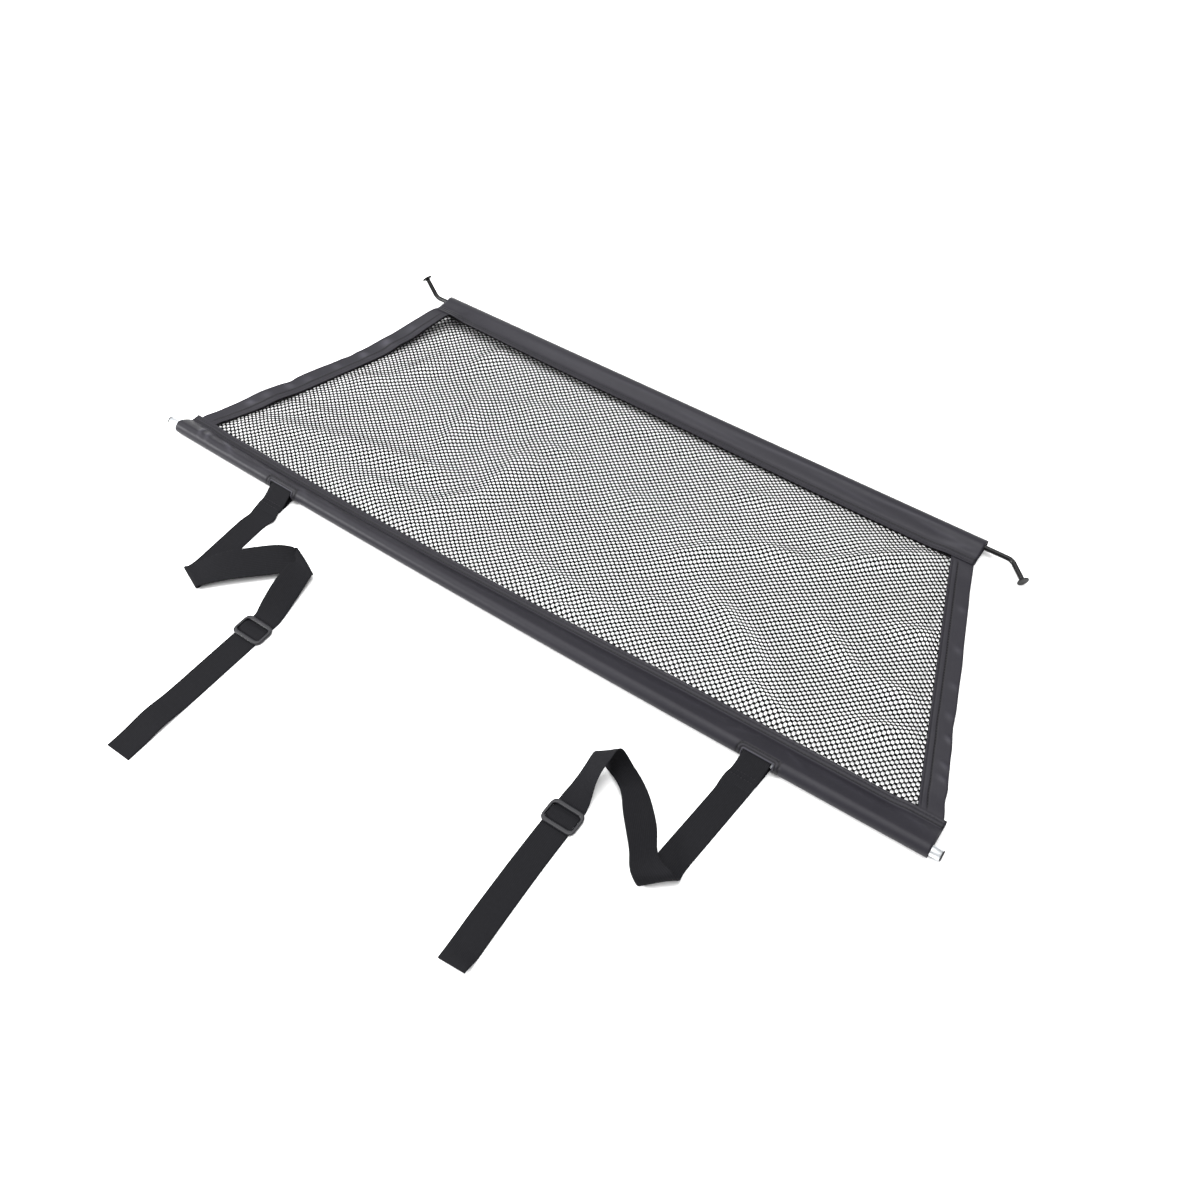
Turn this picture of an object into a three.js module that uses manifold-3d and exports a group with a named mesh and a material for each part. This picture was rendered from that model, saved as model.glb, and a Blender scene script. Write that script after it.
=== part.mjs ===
// Dog car barrier net, laid out flat: a mesh panel between two leatherette sleeves,
// one on a thin headed bar and one on a tube, with two folded webbing straps.
// Millimetres. +X runs along the front tube, +Y towards the top bar, +Z up.
// The origin is on the floor, under the middle of the front sleeve.

import * as THREE from 'three';
import { mergeVertices } from 'three/addons/utils/BufferGeometryUtils.js';
import Module from 'manifold-3d';

const wasm = await Module();
wasm.setup();

// Driving dimensions
const GAP = 0.3; // clearance between pieces that touch
const LEATHERETTE = 1.0; // thickness of the sleeves and bindings
const NET = 1.0; // thickness of the mesh
const WEBBING = 1.6; // thickness of the straps
const STRAP_WIDTH = 34;
const SEAM = 12; // how far the net and bindings reach into a sleeve

const FRONT_HALF = 549; // half length of the front sleeve
const CORNER_X = 546; // outer edge of a binding where it enters the front sleeve
const CORNER_Y = 20;
const TOP_HALF = 428; // half length of the top sleeve
const TOP_INNER_Y = 368; // net side edge of the top sleeve
const TOP_OUTER_Y = 414; // outer fold of the top sleeve
const TOP_FOLD_RADIUS = 3.5;
const BINDING_WIDTH = 27.6; // measured along X
const LEFT_DRAWN = 2; // how far the whole left side is drawn in
const LEFT_HANG = 0.8; // share of its height that the left binding loses at its outer edge

const TUBE = { radius: 6, wall: 1.2, left: -566.5, right: 560, y: -15.1, bow: 5 };
const PLUG = { flange: 1.5, stem: 9 };
const ROD = { radius: 3.25, y: 398.6, z: 10.5, left: -445.5, right: 464, bendRadius: 9 };
const HEAD = { radius: 7.5, thickness: 2.6, neck: 4.2 };

const SLIDER = { width: 42, length: 30, corner: 6, endBar: 4, rail: 3.1, height: 3, middleBar: 4 };

// Net side edge of the front sleeve, a little uneven along its length
const FRONT_INNER = [
  { x: -549, y: 16.0 },
  { x: -250, y: 11.5 },
  { x: 0, y: 14.7 },
  { x: 250, y: 21.5 },
  { x: 549, y: 26.0 },
];

// How far the net side of the top sleeve stands up, towards the left corner
const TOP_LIFTS = [
  { x: -430, spread: 190, rise: 13 },
  { x: -100, spread: 260, rise: 7 },
];
const LIFT_REACH = 65;

// Soft ridges of the mesh: centre, half length, half width, turn from +X, height
const RIPPLES = [
  { x: -360, y: 100, along: 120, across: 22, turn: 14, rise: 5 },
  { x: -250, y: 48, along: 95, across: 17, turn: 12, rise: 3.5 },
  { x: -168, y: 195, along: 75, across: 24, turn: 96, rise: 4.5 },
  { x: -280, y: 255, along: 60, across: 26, turn: 60, rise: 4 },
  { x: -415, y: 235, along: 60, across: 26, turn: 25, rise: 4 },
  { x: 95, y: 200, along: 80, across: 22, turn: 62, rise: 4.5 },
  { x: 255, y: 108, along: 70, across: 17, turn: -34, rise: 5 },
  { x: 315, y: 58, along: 65, across: 14, turn: -18, rise: 3.5 },
  { x: 445, y: 98, along: 60, across: 15, turn: 14, rise: 3.5 },
  { x: 285, y: 322, along: 70, across: 22, turn: 2, rise: 4 },
  { x: 170, y: 262, along: 60, across: 24, turn: 40, rise: 3 },
];

// Waves of the left binding: place along Y, reach, height and how far it is drawn in
const LEFT_WAVES = [
  { y: 285, reach: 15, rise: 3.5, drawn: 0 },
  { y: 240, reach: 17, rise: 0, drawn: 5 },
  { y: 215, reach: 16, rise: 2.5, drawn: 0 },
  { y: 143, reach: 12, rise: 0, drawn: 4 },
  { y: 112, reach: 22, rise: 3.2, drawn: 0 },
  { y: 50, reach: 16, rise: 1.5, drawn: 1.5 },
];

// Straps: where each touches the floor and its skew there, its lead to the first fold,
// two folds (angle of the crease, roll radius), the legs after them (length, lean, bow
// within the floor's plane), the turn before the slider and the free tail
const STRAPS = [
  {
    side: 'left', x: -349.1, skew: 3.4, lead: 129, turn: -12.2, tail: 202.2, curl: 0,
    fold1: { angle: -23.8, radius: 2.8 }, leg2: { length: 133.4, lean: -0.45, bow: -5.9 },
    fold2: { angle: -28.1, radius: 3.2 }, leg3: { length: 96.6, lean: -0.25 },
    wave: { at: 150, reach: 22, rise: 3 },
  },
  {
    side: 'right', x: 347.5, skew: -4.7, lead: 138.2, turn: 8.6, tail: 191, curl: 7,
    fold1: { angle: 24, radius: 7.4 }, leg2: { length: 123.6, lean: -0.31, bow: 3 },
    fold2: { angle: 25.2, radius: 13 }, leg3: { length: 64, lean: 0.15 },
    wave: { at: 140, reach: 22, rise: 0.8 },
  },
];
const WINDOW = { width: 42, top: 16, depth: 25 };
const TOUCH_DOWN_Y = -60;

// How a strap comes down after its folds: where the way down starts and what is left of
// the leg when it has ended, and the height kept above the floor before the second fold
const SETTLE = { leg2: { start: 20, left: 30 }, leg3: { start: 8, left: 14 }, kept: 0.6 };

// Rise of the webbing over a slider's middle bar, with its reach and ramp along the strap
const WEAVE = { rise: 2.3, reach: 10, ramp: 7 };

// Webbing in front of the tube: distance from the tube's axis and height of its middle.
// The lap is the sewn end under the tube, the drop goes from the tube's top to the floor.
const LAP = [
  { out: 32, z: 0.8 },
  { out: 24, z: 0.8 },
  { out: 17, z: 0.8 },
  { out: 11, z: 1.65 },
  { out: 6, z: 2.5 },
];
const DROP = [
  { out: 24.5, z: 3.6 },
  { out: 28, z: 2.8 },
  { out: 33, z: 2.7 },
  { out: 37, z: 1.9 },
  { out: 41, z: 0.9 },
];
const DROP_ANGLE = 119; // where the webbing leaves the tube, degrees from +Y over its top

// Distances over which the net's heights fade: its ridges at an edge, the rise of a
// sewn corner along and across a sleeve, and the hang of the left binding
const FADE = {
  ridge: 40,
  corner: { start: 30, run: 26 },
  tuck: { start: 26, run: 23 },
  hang: 80,
};

// Columns of the net beside each binding, from the binding's inner edge, and the evenly
// spread ones between the last of them
const EDGE_COLUMNS = [-11, -5, 0, 8, 17, 28];
const MIDDLE_INSET = 72;
const MIDDLE_COLUMNS = 30;
const OPEN_ROWS = 22;

// Helpers

const clamp01 = (t) => Math.min(1, Math.max(0, t));
const smooth = (t) => clamp01(t) ** 2 * (3 - 2 * clamp01(t));
const lerp = (a, b, t) => a + (b - a) * t;
const bell = (d, reach) => Math.exp(-((d / reach) ** 2));
const range = (n) => Array.from({ length: n + 1 }, (_, i) => i / n);
const radians = THREE.MathUtils.degToRad;
const point = (x, y, z) => new THREE.Vector3(x, y, z);

// Smooth value of a table column at x
function along(table, column, x) {
  const curve = new THREE.CatmullRomCurve3(table.map((row) => point(row.x, row[column], 0)));
  const i = table.findIndex((row, k) => k === table.length - 2 || table[k + 1].x >= x);
  const t = clamp01((x - table[i].x) / (table[i + 1].x - table[i].x));
  return curve.getPoint((i + t) / (table.length - 1)).y;
}

// Triangles of a grid of indices, rows by columns
function gridFaces(rows, cols, index, flip) {
  const faces = [];
  for (let i = 0; i < rows - 1; i += 1) {
    for (let j = 0; j < cols - 1; j += 1) {
      const [a, b, c, d] = [index(i, j), index(i + 1, j), index(i + 1, j + 1), index(i, j + 1)];
      faces.push(...(flip ? [a, c, b, a, d, c] : [a, b, c, a, c, d]));
    }
  }
  return faces;
}

// Closed geometry from vertices and faces, turned so that its faces point out
function closedGeometry(vertices, faces) {
  const volume = new THREE.Vector3();
  let six = 0;
  for (let k = 0; k < faces.length; k += 3) {
    volume.crossVectors(vertices[faces[k + 1]], vertices[faces[k + 2]]);
    six += vertices[faces[k]].dot(volume);
  }
  const geometry = new THREE.BufferGeometry();
  geometry.setFromPoints(vertices);
  geometry.setIndex(six < 0 ? faces.reverse() : faces);
  return geometry;
}

// A sheet with thickness: two grids of points, face and back, closed round the rim
function thickSheet(face, back) {
  const rows = face.length;
  const cols = face[0].length;
  const vertices = [...face.flat(), ...back.flat()];
  const front = (i, j) => i * cols + j;
  const rear = (i, j) => rows * cols + i * cols + j;
  const faces = [...gridFaces(rows, cols, front, false), ...gridFaces(rows, cols, rear, true)];
  const rim = [];
  for (let i = 0; i < rows; i += 1) rim.push([i, 0]);
  for (let j = 1; j < cols; j += 1) rim.push([rows - 1, j]);
  for (let i = rows - 2; i >= 0; i -= 1) rim.push([i, cols - 1]);
  for (let j = cols - 2; j > 0; j -= 1) rim.push([0, j]);
  rim.forEach(([i, j], k) => {
    const [p, q] = rim[(k + 1) % rim.length];
    faces.push(front(i, j), rear(i, j), rear(p, q), front(i, j), rear(p, q), front(p, q));
  });
  return closedGeometry(vertices, faces);
}

// A bar of round section along a line of points
function roundBar(line, radius, sides) {
  const tangents = line.map((p, i) => {
    const before = line[Math.max(0, i - 1)];
    const after = line[Math.min(line.length - 1, i + 1)];
    return after.clone().sub(before).normalize();
  });
  let normal = point(0, 0, 1);
  const vertices = [];
  line.forEach((centre, i) => {
    normal = normal.clone().addScaledVector(tangents[i], -normal.dot(tangents[i])).normalize();
    const binormal = new THREE.Vector3().crossVectors(tangents[i], normal);
    for (let k = 0; k < sides; k += 1) {
      const a = (2 * Math.PI * k) / sides;
      const spoke = normal.clone().multiplyScalar(Math.cos(a)).addScaledVector(binormal, Math.sin(a));
      vertices.push(centre.clone().addScaledVector(spoke, radius));
    }
  });
  const faces = gridFaces(line.length, sides + 1, (i, j) => i * sides + (j % sides), false);
  const last = (line.length - 1) * sides;
  for (let k = 1; k < sides - 1; k += 1) {
    faces.push(0, k, k + 1, last, last + k + 1, last + k);
  }
  return closedGeometry(vertices, faces);
}

function toSolid(geometry) {
  const bare = geometry.clone();
  bare.deleteAttribute('normal');
  bare.deleteAttribute('uv');
  const merged = mergeVertices(bare, 1e-4);
  return new wasm.Manifold(new wasm.Mesh({
    numProp: 3,
    vertProperties: new Float32Array(merged.attributes.position.array),
    triVerts: new Uint32Array(merged.index.array),
  }));
}

function toGeometry(solid) {
  const mesh = solid.getMesh();
  const geometry = new THREE.BufferGeometry();
  geometry.setAttribute('position', new THREE.BufferAttribute(new Float32Array(mesh.vertProperties), 3));
  geometry.setIndex(new THREE.BufferAttribute(new Uint32Array(mesh.triVerts), 1));
  return geometry;
}

function boxAt(low, high) {
  const size = high.clone().sub(low);
  const geometry = new THREE.BoxGeometry(size.x, size.y, size.z);
  const middle = low.clone().add(high).multiplyScalar(0.5);
  return geometry.translate(middle.x, middle.y, middle.z);
}

// Face and back points of a line in a plane, half a thickness to each side
function offsetLine(line, thickness) {
  const left = [];
  const right = [];
  line.forEach((p, i) => {
    const before = line[Math.max(0, i - 1)];
    const after = line[Math.min(line.length - 1, i + 1)];
    const a = p.clone().sub(before).normalize();
    const b = after.clone().sub(p).normalize();
    const tangent = a.add(b).normalize();
    const normal = new THREE.Vector2(-tangent.y, tangent.x);
    const step = after.clone().sub(p).lengthSq() > 0 ? b : tangent;
    const miter = 1 / Math.max(0.8, Math.abs(normal.x * -step.y + normal.y * step.x));
    left.push(p.clone().addScaledVector(normal, (thickness / 2) * miter));
    right.push(p.clone().addScaledVector(normal, (-thickness / 2) * miter));
  });
  return { left, right };
}

// The panel's lines

const SLOPE = (CORNER_X - TOP_HALF + 1) / (TOP_INNER_Y - CORNER_Y); // slant of the sides
const NET_MIDDLE = LEATHERETTE + GAP + NET / 2; // height of the net's middle inside a sleeve
const TUCK = LEATHERETTE + 1.5 * GAP; // extra rise where a binding lies inside a sleeve

const frontInner = (x) => along(FRONT_INNER, 'y', x);
const tubeY = (x) => TUBE.y - TUBE.bow * (1 - (x / FRONT_HALF) ** 2);
const edgeX = (y) => CORNER_X - SLOPE * Math.max(0, y - CORNER_Y);
const waveSum = (column, y) =>
  LEFT_WAVES.reduce((sum, wave) => sum + wave[column] * bell(y - wave.y, wave.reach), 0);
const leftEdge = (y) => -edgeX(y) + LEFT_DRAWN + waveSum('drawn', y);
const rightEdge = (y) => edgeX(y);
const topLift = (x) => TOP_LIFTS.reduce((sum, row) => sum + row.rise * bell(x - row.x, row.spread), 0);

// Rise of the sewn corner: 1 where a binding lies inside a sleeve, 0 on bare net
function bindingZone(x, y) {
  const inner = x < 0 ? -leftEdge(y) - BINDING_WIDTH : rightEdge(y) - BINDING_WIDTH;
  return smooth((Math.abs(x) - inner + FADE.corner.start) / FADE.corner.run);
}

function tuckZone(x, y) {
  const toFront = y - frontInner(x);
  const toTop = TOP_INNER_Y - y;
  return smooth((FADE.tuck.start - Math.min(toFront, toTop)) / FADE.tuck.run);
}

// Height of the top sleeve's lower layer: it tilts up towards its net side
const topTilt = (x, y) => topLift(x) * clamp01((TOP_OUTER_Y - y) / (TOP_OUTER_Y - TOP_INNER_Y));

// The left binding hangs from its net side down to the floor, except near the top sleeve
function hang(x, y) {
  const outward = clamp01(1 - (x - leftEdge(y)) / BINDING_WIDTH);
  return 1 - LEFT_HANG * outward * smooth((TOP_INNER_Y - y) / FADE.hang);
}

// Height of the net's middle surface above the floor
function netHeight(x, y) {
  const toTop = TOP_INNER_Y - y;
  const lift = toTop < 0 ? topTilt(x, y) : topLift(x) * bell(toTop, LIFT_REACH);
  const free = smooth((y - frontInner(x)) / FADE.ridge) * smooth(toTop / FADE.ridge);
  const toRight = smooth((rightEdge(y) - BINDING_WIDTH - x) / FADE.ridge);
  const ridges = RIPPLES.reduce((sum, ridge) => {
    const turn = radians(ridge.turn);
    const dx = x - ridge.x;
    const dy = y - ridge.y;
    const u = dx * Math.cos(turn) + dy * Math.sin(turn);
    const v = -dx * Math.sin(turn) + dy * Math.cos(turn);
    return sum + ridge.rise * bell(u, ridge.along) * bell(v, ridge.across);
  }, 0);
  const toLeft = smooth((x - leftEdge(y) - BINDING_WIDTH) / FADE.ridge);
  const wave = waveSum('rise', y) * (1 - toLeft);
  const tuck = TUCK * bindingZone(x, y) * tuckZone(x, y);
  const hung = hang(x, y);
  return NET_MIDDLE + hung * lift + tuck + free * (toRight * toLeft * ridges + hung * wave);
}

// Pieces

// Rows across the panel, shared by the net and its bindings: part of the way from the
// front sleeve to the top one, and how far past that into a sleeve
function panelRows(tucked) {
  const open = range(OPEN_ROWS).map((part) => ({ part, past: 0 }));
  const before = [-tucked, -tucked / 2].map((past) => ({ part: 0, past }));
  const after = [tucked / 2, tucked].map((past) => ({ part: 1, past }));
  return [...before, ...open, ...after];
}

// Place of a point on a row, where across gives its X from the row's Y
function onRow(row, across) {
  let x = across(0);
  let y = 0;
  for (let pass = 0; pass < 4; pass += 1) {
    y = lerp(frontInner(x), TOP_INNER_Y, row.part) + row.past;
    x = across(y);
  }
  return [x, y];
}

function netPanel() {
  const edges = EDGE_COLUMNS.map((inset) => BINDING_WIDTH + inset);
  const between = (t) => (y) => lerp(leftEdge(y) + MIDDLE_INSET, rightEdge(y) - MIDDLE_INSET, t);
  const columns = [
    ...edges.map((inset) => (y) => leftEdge(y) + inset),
    ...range(MIDDLE_COLUMNS).map(between),
    ...edges.map((inset) => (y) => rightEdge(y) - inset).reverse(),
  ];
  const layer = (side) => columns.map((column) => panelRows(SEAM - 1).map((row) => {
    const [x, y] = onRow(row, column);
    return point(x, y, netHeight(x, y) + (side * NET) / 2);
  }));
  return thickSheet(layer(1), layer(-1));
}

// A strip folded over the net's slanted side, its fold outwards
function binding(side) {
  const edge = side < 0 ? leftEdge : rightEdge;
  const layerGap = NET + 2 * GAP;
  const foldRadius = (layerGap + LEATHERETTE) / 2;
  const sewn = [0, SEAM / 2, SEAM].map((back) => BINDING_WIDTH - back);
  const section = [
    ...sewn.map((inset) => new THREE.Vector2(inset, -foldRadius)),
    ...range(4).map((t) => {
      const a = lerp(-Math.PI / 2, -1.5 * Math.PI, t);
      return new THREE.Vector2(2 + foldRadius * Math.cos(a), foldRadius * Math.sin(a));
    }),
    ...sewn.reverse().map((inset) => new THREE.Vector2(inset, foldRadius)),
  ];
  const { left, right } = offsetLine(section, LEATHERETTE);
  const layer = (line) => panelRows(SEAM - 2).map((row) => line.map((p) => {
    const [x, y] = onRow(row, (at) => edge(at) - side * p.x);
    return point(x, y, netHeight(x, y) + p.y);
  }));
  return thickSheet(layer(left), layer(right));
}

// Section of a sleeve at x: lower layer, round its bar, upper layer; net side last
function sleeveGeometry(stations, sectionAt) {
  const face = [];
  const back = [];
  stations.forEach((x) => {
    const { left, right } = offsetLine(sectionAt(x), LEATHERETTE);
    face.push(left.map((p) => point(x, p.x, p.y)));
    back.push(right.map((p) => point(x, p.x, p.y)));
  });
  return thickSheet(face, back);
}

// Height of a sleeve's upper layer over the net and, at its ends, over the binding
function seamTop(x, y) {
  return netHeight(x, y) + NET / 2 + GAP + TUCK * bindingZone(x, y) * tuckZone(x, y) + LEATHERETTE / 2;
}

const SLEEVE_ROOM = TUBE.radius + WEBBING + 2 * GAP; // inside radius of the front sleeve
const TUBE_Z = LEATHERETTE + SLEEVE_ROOM;

function frontSection(x) {
  const inner = frontInner(x);
  const yc = tubeY(x);
  const radius = SLEEVE_ROOM + LEATHERETTE / 2;
  const top = seamTop(x, inner - SEAM);
  const run = new THREE.Vector2(inner - SEAM - yc, top - TUBE_Z);
  const leave = Math.atan2(run.y, run.x) + Math.acos(radius / run.length());
  const round = range(11).map((t) => {
    const a = lerp(-Math.PI / 2, leave - 2 * Math.PI, t);
    return new THREE.Vector2(yc + radius * Math.cos(a), TUBE_Z + radius * Math.sin(a));
  });
  return [
    new THREE.Vector2(inner, LEATHERETTE / 2),
    ...round,
    new THREE.Vector2(inner - SEAM, top),
    new THREE.Vector2(inner, seamTop(x, inner)),
  ];
}

const windowX = (strap) => strap.x - Math.tan(radians(strap.skew)) * (tubeY(strap.x) - TOUCH_DOWN_Y);

function frontSleeve() {
  const ends = [-FRONT_HALF, -535, -520, -500, -480];
  const middle = range(14).map((t) => lerp(-450, 450, t));
  const stations = [...ends, ...middle, ...ends.map((x) => -x).reverse()];
  let solid = toSolid(sleeveGeometry(stations, frontSection));
  STRAPS.forEach((strap) => {
    const x = windowX(strap);
    const yc = tubeY(x);
    const low = point(x - WINDOW.width / 2, yc - WINDOW.depth, LEATHERETTE);
    const high = point(x + WINDOW.width / 2, yc, WINDOW.top);
    solid = solid.subtract(toSolid(boxAt(low, high)));
  });
  return toGeometry(solid);
}

function topSection(x) {
  const foldY = TOP_OUTER_Y - TOP_FOLD_RADIUS;
  const foldZ = topTilt(x, foldY) + LEATHERETTE / 2 + TOP_FOLD_RADIUS;
  const crest = ROD.z + ROD.radius + GAP + LEATHERETTE / 2;
  const seamEnd = TOP_INNER_Y + SEAM;
  const seam = seamTop(x, seamEnd);
  const lower = [TOP_INNER_Y, seamEnd, ROD.y]
    .map((y) => new THREE.Vector2(y, topTilt(x, y) + LEATHERETTE / 2));
  const fold = range(4).map((t) => {
    const a = lerp(-Math.PI / 2, Math.PI / 2, t);
    return new THREE.Vector2(foldY + TOP_FOLD_RADIUS * Math.cos(a), foldZ + TOP_FOLD_RADIUS * Math.sin(a));
  });
  const over = range(4).slice(1).map((t) => new THREE.Vector2(
    lerp(foldY, ROD.y, t),
    lerp(foldZ + TOP_FOLD_RADIUS, crest, smooth(t)),
  ));
  const down = range(4).slice(1).map((t) => new THREE.Vector2(
    lerp(ROD.y, seamEnd, t),
    lerp(crest, seam, smooth(t)),
  ));
  return [...lower, ...fold, ...over, ...down, new THREE.Vector2(TOP_INNER_Y, seamTop(x, TOP_INNER_Y))];
}

function topSleeve() {
  const ends = [-TOP_HALF, -416, -402, -385, -365];
  const middle = range(18).map((t) => lerp(-335, 335, t));
  const stations = [...ends, ...middle, ...ends.map((x) => -x).reverse()];
  return sleeveGeometry(stations, topSection);
}

// A stud head across the end of the bar, facing the way the end points
function studHead(tip, direction) {
  const profile = [
    [0, 0], [HEAD.radius, 0], [HEAD.radius, -HEAD.thickness * 0.4],
    [HEAD.neck, -HEAD.thickness], [0, -HEAD.thickness],
  ].map(([r, h]) => new THREE.Vector2(r, h)).reverse();
  const turn = new THREE.Quaternion().setFromUnitVectors(point(0, 1, 0), direction);
  return new THREE.LatheGeometry(profile, 20).applyQuaternion(turn).translate(tip.x, tip.y, tip.z);
}

// Bent ends of the top bar: the right one lies forwards, the left one stands up
const ROD_ENDS = {
  left: { start: point(ROD.left, ROD.y, ROD.z), reach: point(-23.5, 8, 19) },
  right: { start: point(ROD.right, ROD.y, ROD.z), reach: point(23.5, -21.5, -2.9) },
};

function topRod() {
  const bend = ({ start, reach }) => {
    const out = Math.sign(reach.x);
    const before = start.clone().add(point(-out * ROD.bendRadius, 0, 0));
    const after = start.clone().addScaledVector(reach.clone().normalize(), ROD.bendRadius);
    const curve = new THREE.QuadraticBezierCurve3(before, start, after);
    return [...curve.getPoints(5), start.clone().add(reach)];
  };
  const line = [...bend(ROD_ENDS.left).reverse(), ...bend(ROD_ENDS.right)];
  let solid = toSolid(roundBar(line, ROD.radius, 12));
  Object.values(ROD_ENDS).forEach(({ start, reach }) => {
    const direction = reach.clone().normalize();
    const tip = start.clone().add(reach).addScaledVector(direction, HEAD.thickness * 0.4);
    solid = solid.add(toSolid(studHead(tip, direction)));
  });
  return toGeometry(solid);
}

function frontTube() {
  const line = (from, to) => range(12).map((t) => {
    const x = lerp(from, to, t);
    return point(x, tubeY(x), TUBE_Z);
  });
  const outer = toSolid(roundBar(line(TUBE.left, TUBE.right), TUBE.radius, 16));
  const bore = toSolid(roundBar(line(TUBE.left - 1, TUBE.right + 1), TUBE.radius - TUBE.wall, 16));
  return toGeometry(outer.subtract(bore));
}

function tubePlug(side) {
  const x = side < 0 ? TUBE.left : TUBE.right;
  const stem = TUBE.radius - TUBE.wall - 0.5;
  const seat = GAP;
  const profile = [
    [0, -PLUG.stem], [stem - 0.6, -PLUG.stem], [stem, -PLUG.stem + 1], [stem, seat],
    [TUBE.radius, seat], [TUBE.radius, seat + PLUG.flange * 0.6],
    [TUBE.radius - 0.7, seat + PLUG.flange], [0, seat + PLUG.flange],
  ].map(([r, h]) => new THREE.Vector2(r, h));
  return new THREE.LatheGeometry(profile, 16)
    .rotateZ((-side * Math.PI) / 2)
    .translate(x, tubeY(x), TUBE_Z);
}

// Bends a flat strip over rollers. Each bend starts at a crease line across the strip,
// follows the roller for its turn and goes on straight. The last bend is made first.
function bendStrip({ s, w }, flat, bends) {
  const at = flat.clone();
  [...bends].reverse().forEach(({ start, angle, radius, up }) => {
    const c = Math.cos(angle);
    const d = Math.sin(angle);
    const past = (s - start) * c + w * d;
    if (past <= 0) return;
    const turn = Math.PI;
    const n = (at.x - start) * c + at.y * d;
    const k = -(at.x - start) * d + at.y * c;
    let across;
    let height;
    if (past < turn * radius) {
      const a = past / radius;
      across = (radius - up * at.z) * Math.sin(a);
      height = up * (radius - (radius - up * at.z) * Math.cos(a));
    } else {
      across = turn * radius - n;
      height = up * 2 * radius - at.z;
    }
    at.set(start + across * c - k * d, across * d + k * c, height);
  });
  return at;
}

// The strap's loop round the tube, from its sewn lap to the floor: distance before the
// tube's axis and height, with the round part as an arc
function rootLine() {
  const radius = TUBE.radius + GAP + WEBBING / 2;
  const round = range(12).map((t) => {
    const a = lerp(-Math.PI / 2, radians(DROP_ANGLE), t);
    return new THREE.Vector2(radius * Math.cos(a), TUBE_Z + radius * Math.sin(a));
  });
  const plain = (rows) => rows.map(({ out, z }) => new THREE.Vector2(-out, z));
  return [...plain(LAP), ...round, ...plain(DROP)];
}

// Rulings of a strap: distance along it and slant, straight across or along a crease
function strapRulings(strap, folds, end) {
  const rulings = [];
  const straight = (from, to, count) => range(count).forEach((t) => {
    rulings.push({ s: lerp(from, to, t), slant: 0 });
  });
  const [one, two] = folds;
  const clear = 10 + (STRAP_WIDTH / 2) * Math.tan(radians(30));
  straight(0, one.start - clear, 4);
  const crease = ({ start, angle, radius }) => range(7).forEach((t) => {
    rulings.push({ s: start + (t * Math.PI * radius) / Math.cos(angle), slant: -Math.tan(angle) });
  });
  crease(one);
  straight(one.end + clear, two.start - clear, 7);
  crease(two);
  straight(two.end + clear, end.slider - 37, 3);
  straight(end.slider - 32, end.slider + 18, 20);
  straight(end.slider + 24, end.tail, 12);
  return rulings;
}

function strapPlan(strap) {
  const { fold1, fold2 } = strap;
  const turn = (fold) => Math.PI * fold.radius;
  const bend = (start, fold, up) => ({ ...fold, start, up, angle: radians(fold.angle), end: start + turn(fold) });
  const one = bend(strap.lead, fold1, 1);
  const two = bend(one.end + strap.leg2.length, fold2, -1);
  const slider = two.end + strap.leg3.length + SLIDER.length / 2;
  return { folds: [one, two], end: { slider, tail: slider + strap.tail } };
}

// Place of a point of the strap: s along it from the floor, w across, offset from its middle
function strapPoint(strap, plan, s, w, offset) {
  const [one, two] = plan.folds;
  const { slider, tail } = plan.end;
  const { leg2, leg3 } = strap;
  const arch = (from, length, past) => clamp01(1 - ((s - from - length / 2) / (length / 2 + past)) ** 2);
  const arch2 = arch(one.end, leg2.length, 4);
  const arch3 = arch(two.end, leg3.length, -5);
  const turnAt = slider - SLIDER.length / 2 - 10;
  const beyond = Math.max(0, s - turnAt);
  const turn = radians(strap.turn);
  const slewed = turn * smooth((s - turnAt + 10) / 20);
  const flat = point(
    Math.min(s, turnAt) + beyond * Math.cos(turn) - w * Math.sin(slewed),
    beyond * Math.sin(turn) + w * Math.cos(slewed) + leg2.bow * arch2,
    offset,
  );
  const at = bendStrip({ s, w }, flat, plan.folds);
  const wayDown = (from, leg, rule) => smooth((s - from - rule.start) / (leg.length - rule.left));
  const settled = (2 * one.radius - SETTLE.kept) * wayDown(one.end, leg2, SETTLE.leg2)
    + (2 * two.radius + SETTLE.kept) * wayDown(two.end, leg3, SETTLE.leg3);
  const tilt = (lean) => Math.abs(lean) * (STRAP_WIDTH / 2) + lean * w;
  const lean = arch2 * tilt(leg2.lean) + arch3 * tilt(leg3.lean);
  const weave = WEAVE.rise * smooth((WEAVE.reach - Math.abs(s - slider)) / WEAVE.ramp);
  const wave = strap.wave.rise * bell(s - slider - strap.wave.at, strap.wave.reach);
  const curl = strap.curl * smooth((s - tail + 24) / 24) * (0.6 + w / STRAP_WIDTH);
  const height = WEBBING / 2 + at.z - settled + lean + weave + wave + curl;
  const skew = radians(strap.skew);
  return point(
    strap.x + at.x * Math.sin(skew) + at.y * Math.cos(skew),
    TOUCH_DOWN_Y - at.x * Math.cos(skew) + at.y * Math.sin(skew),
    height,
  );
}

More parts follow.
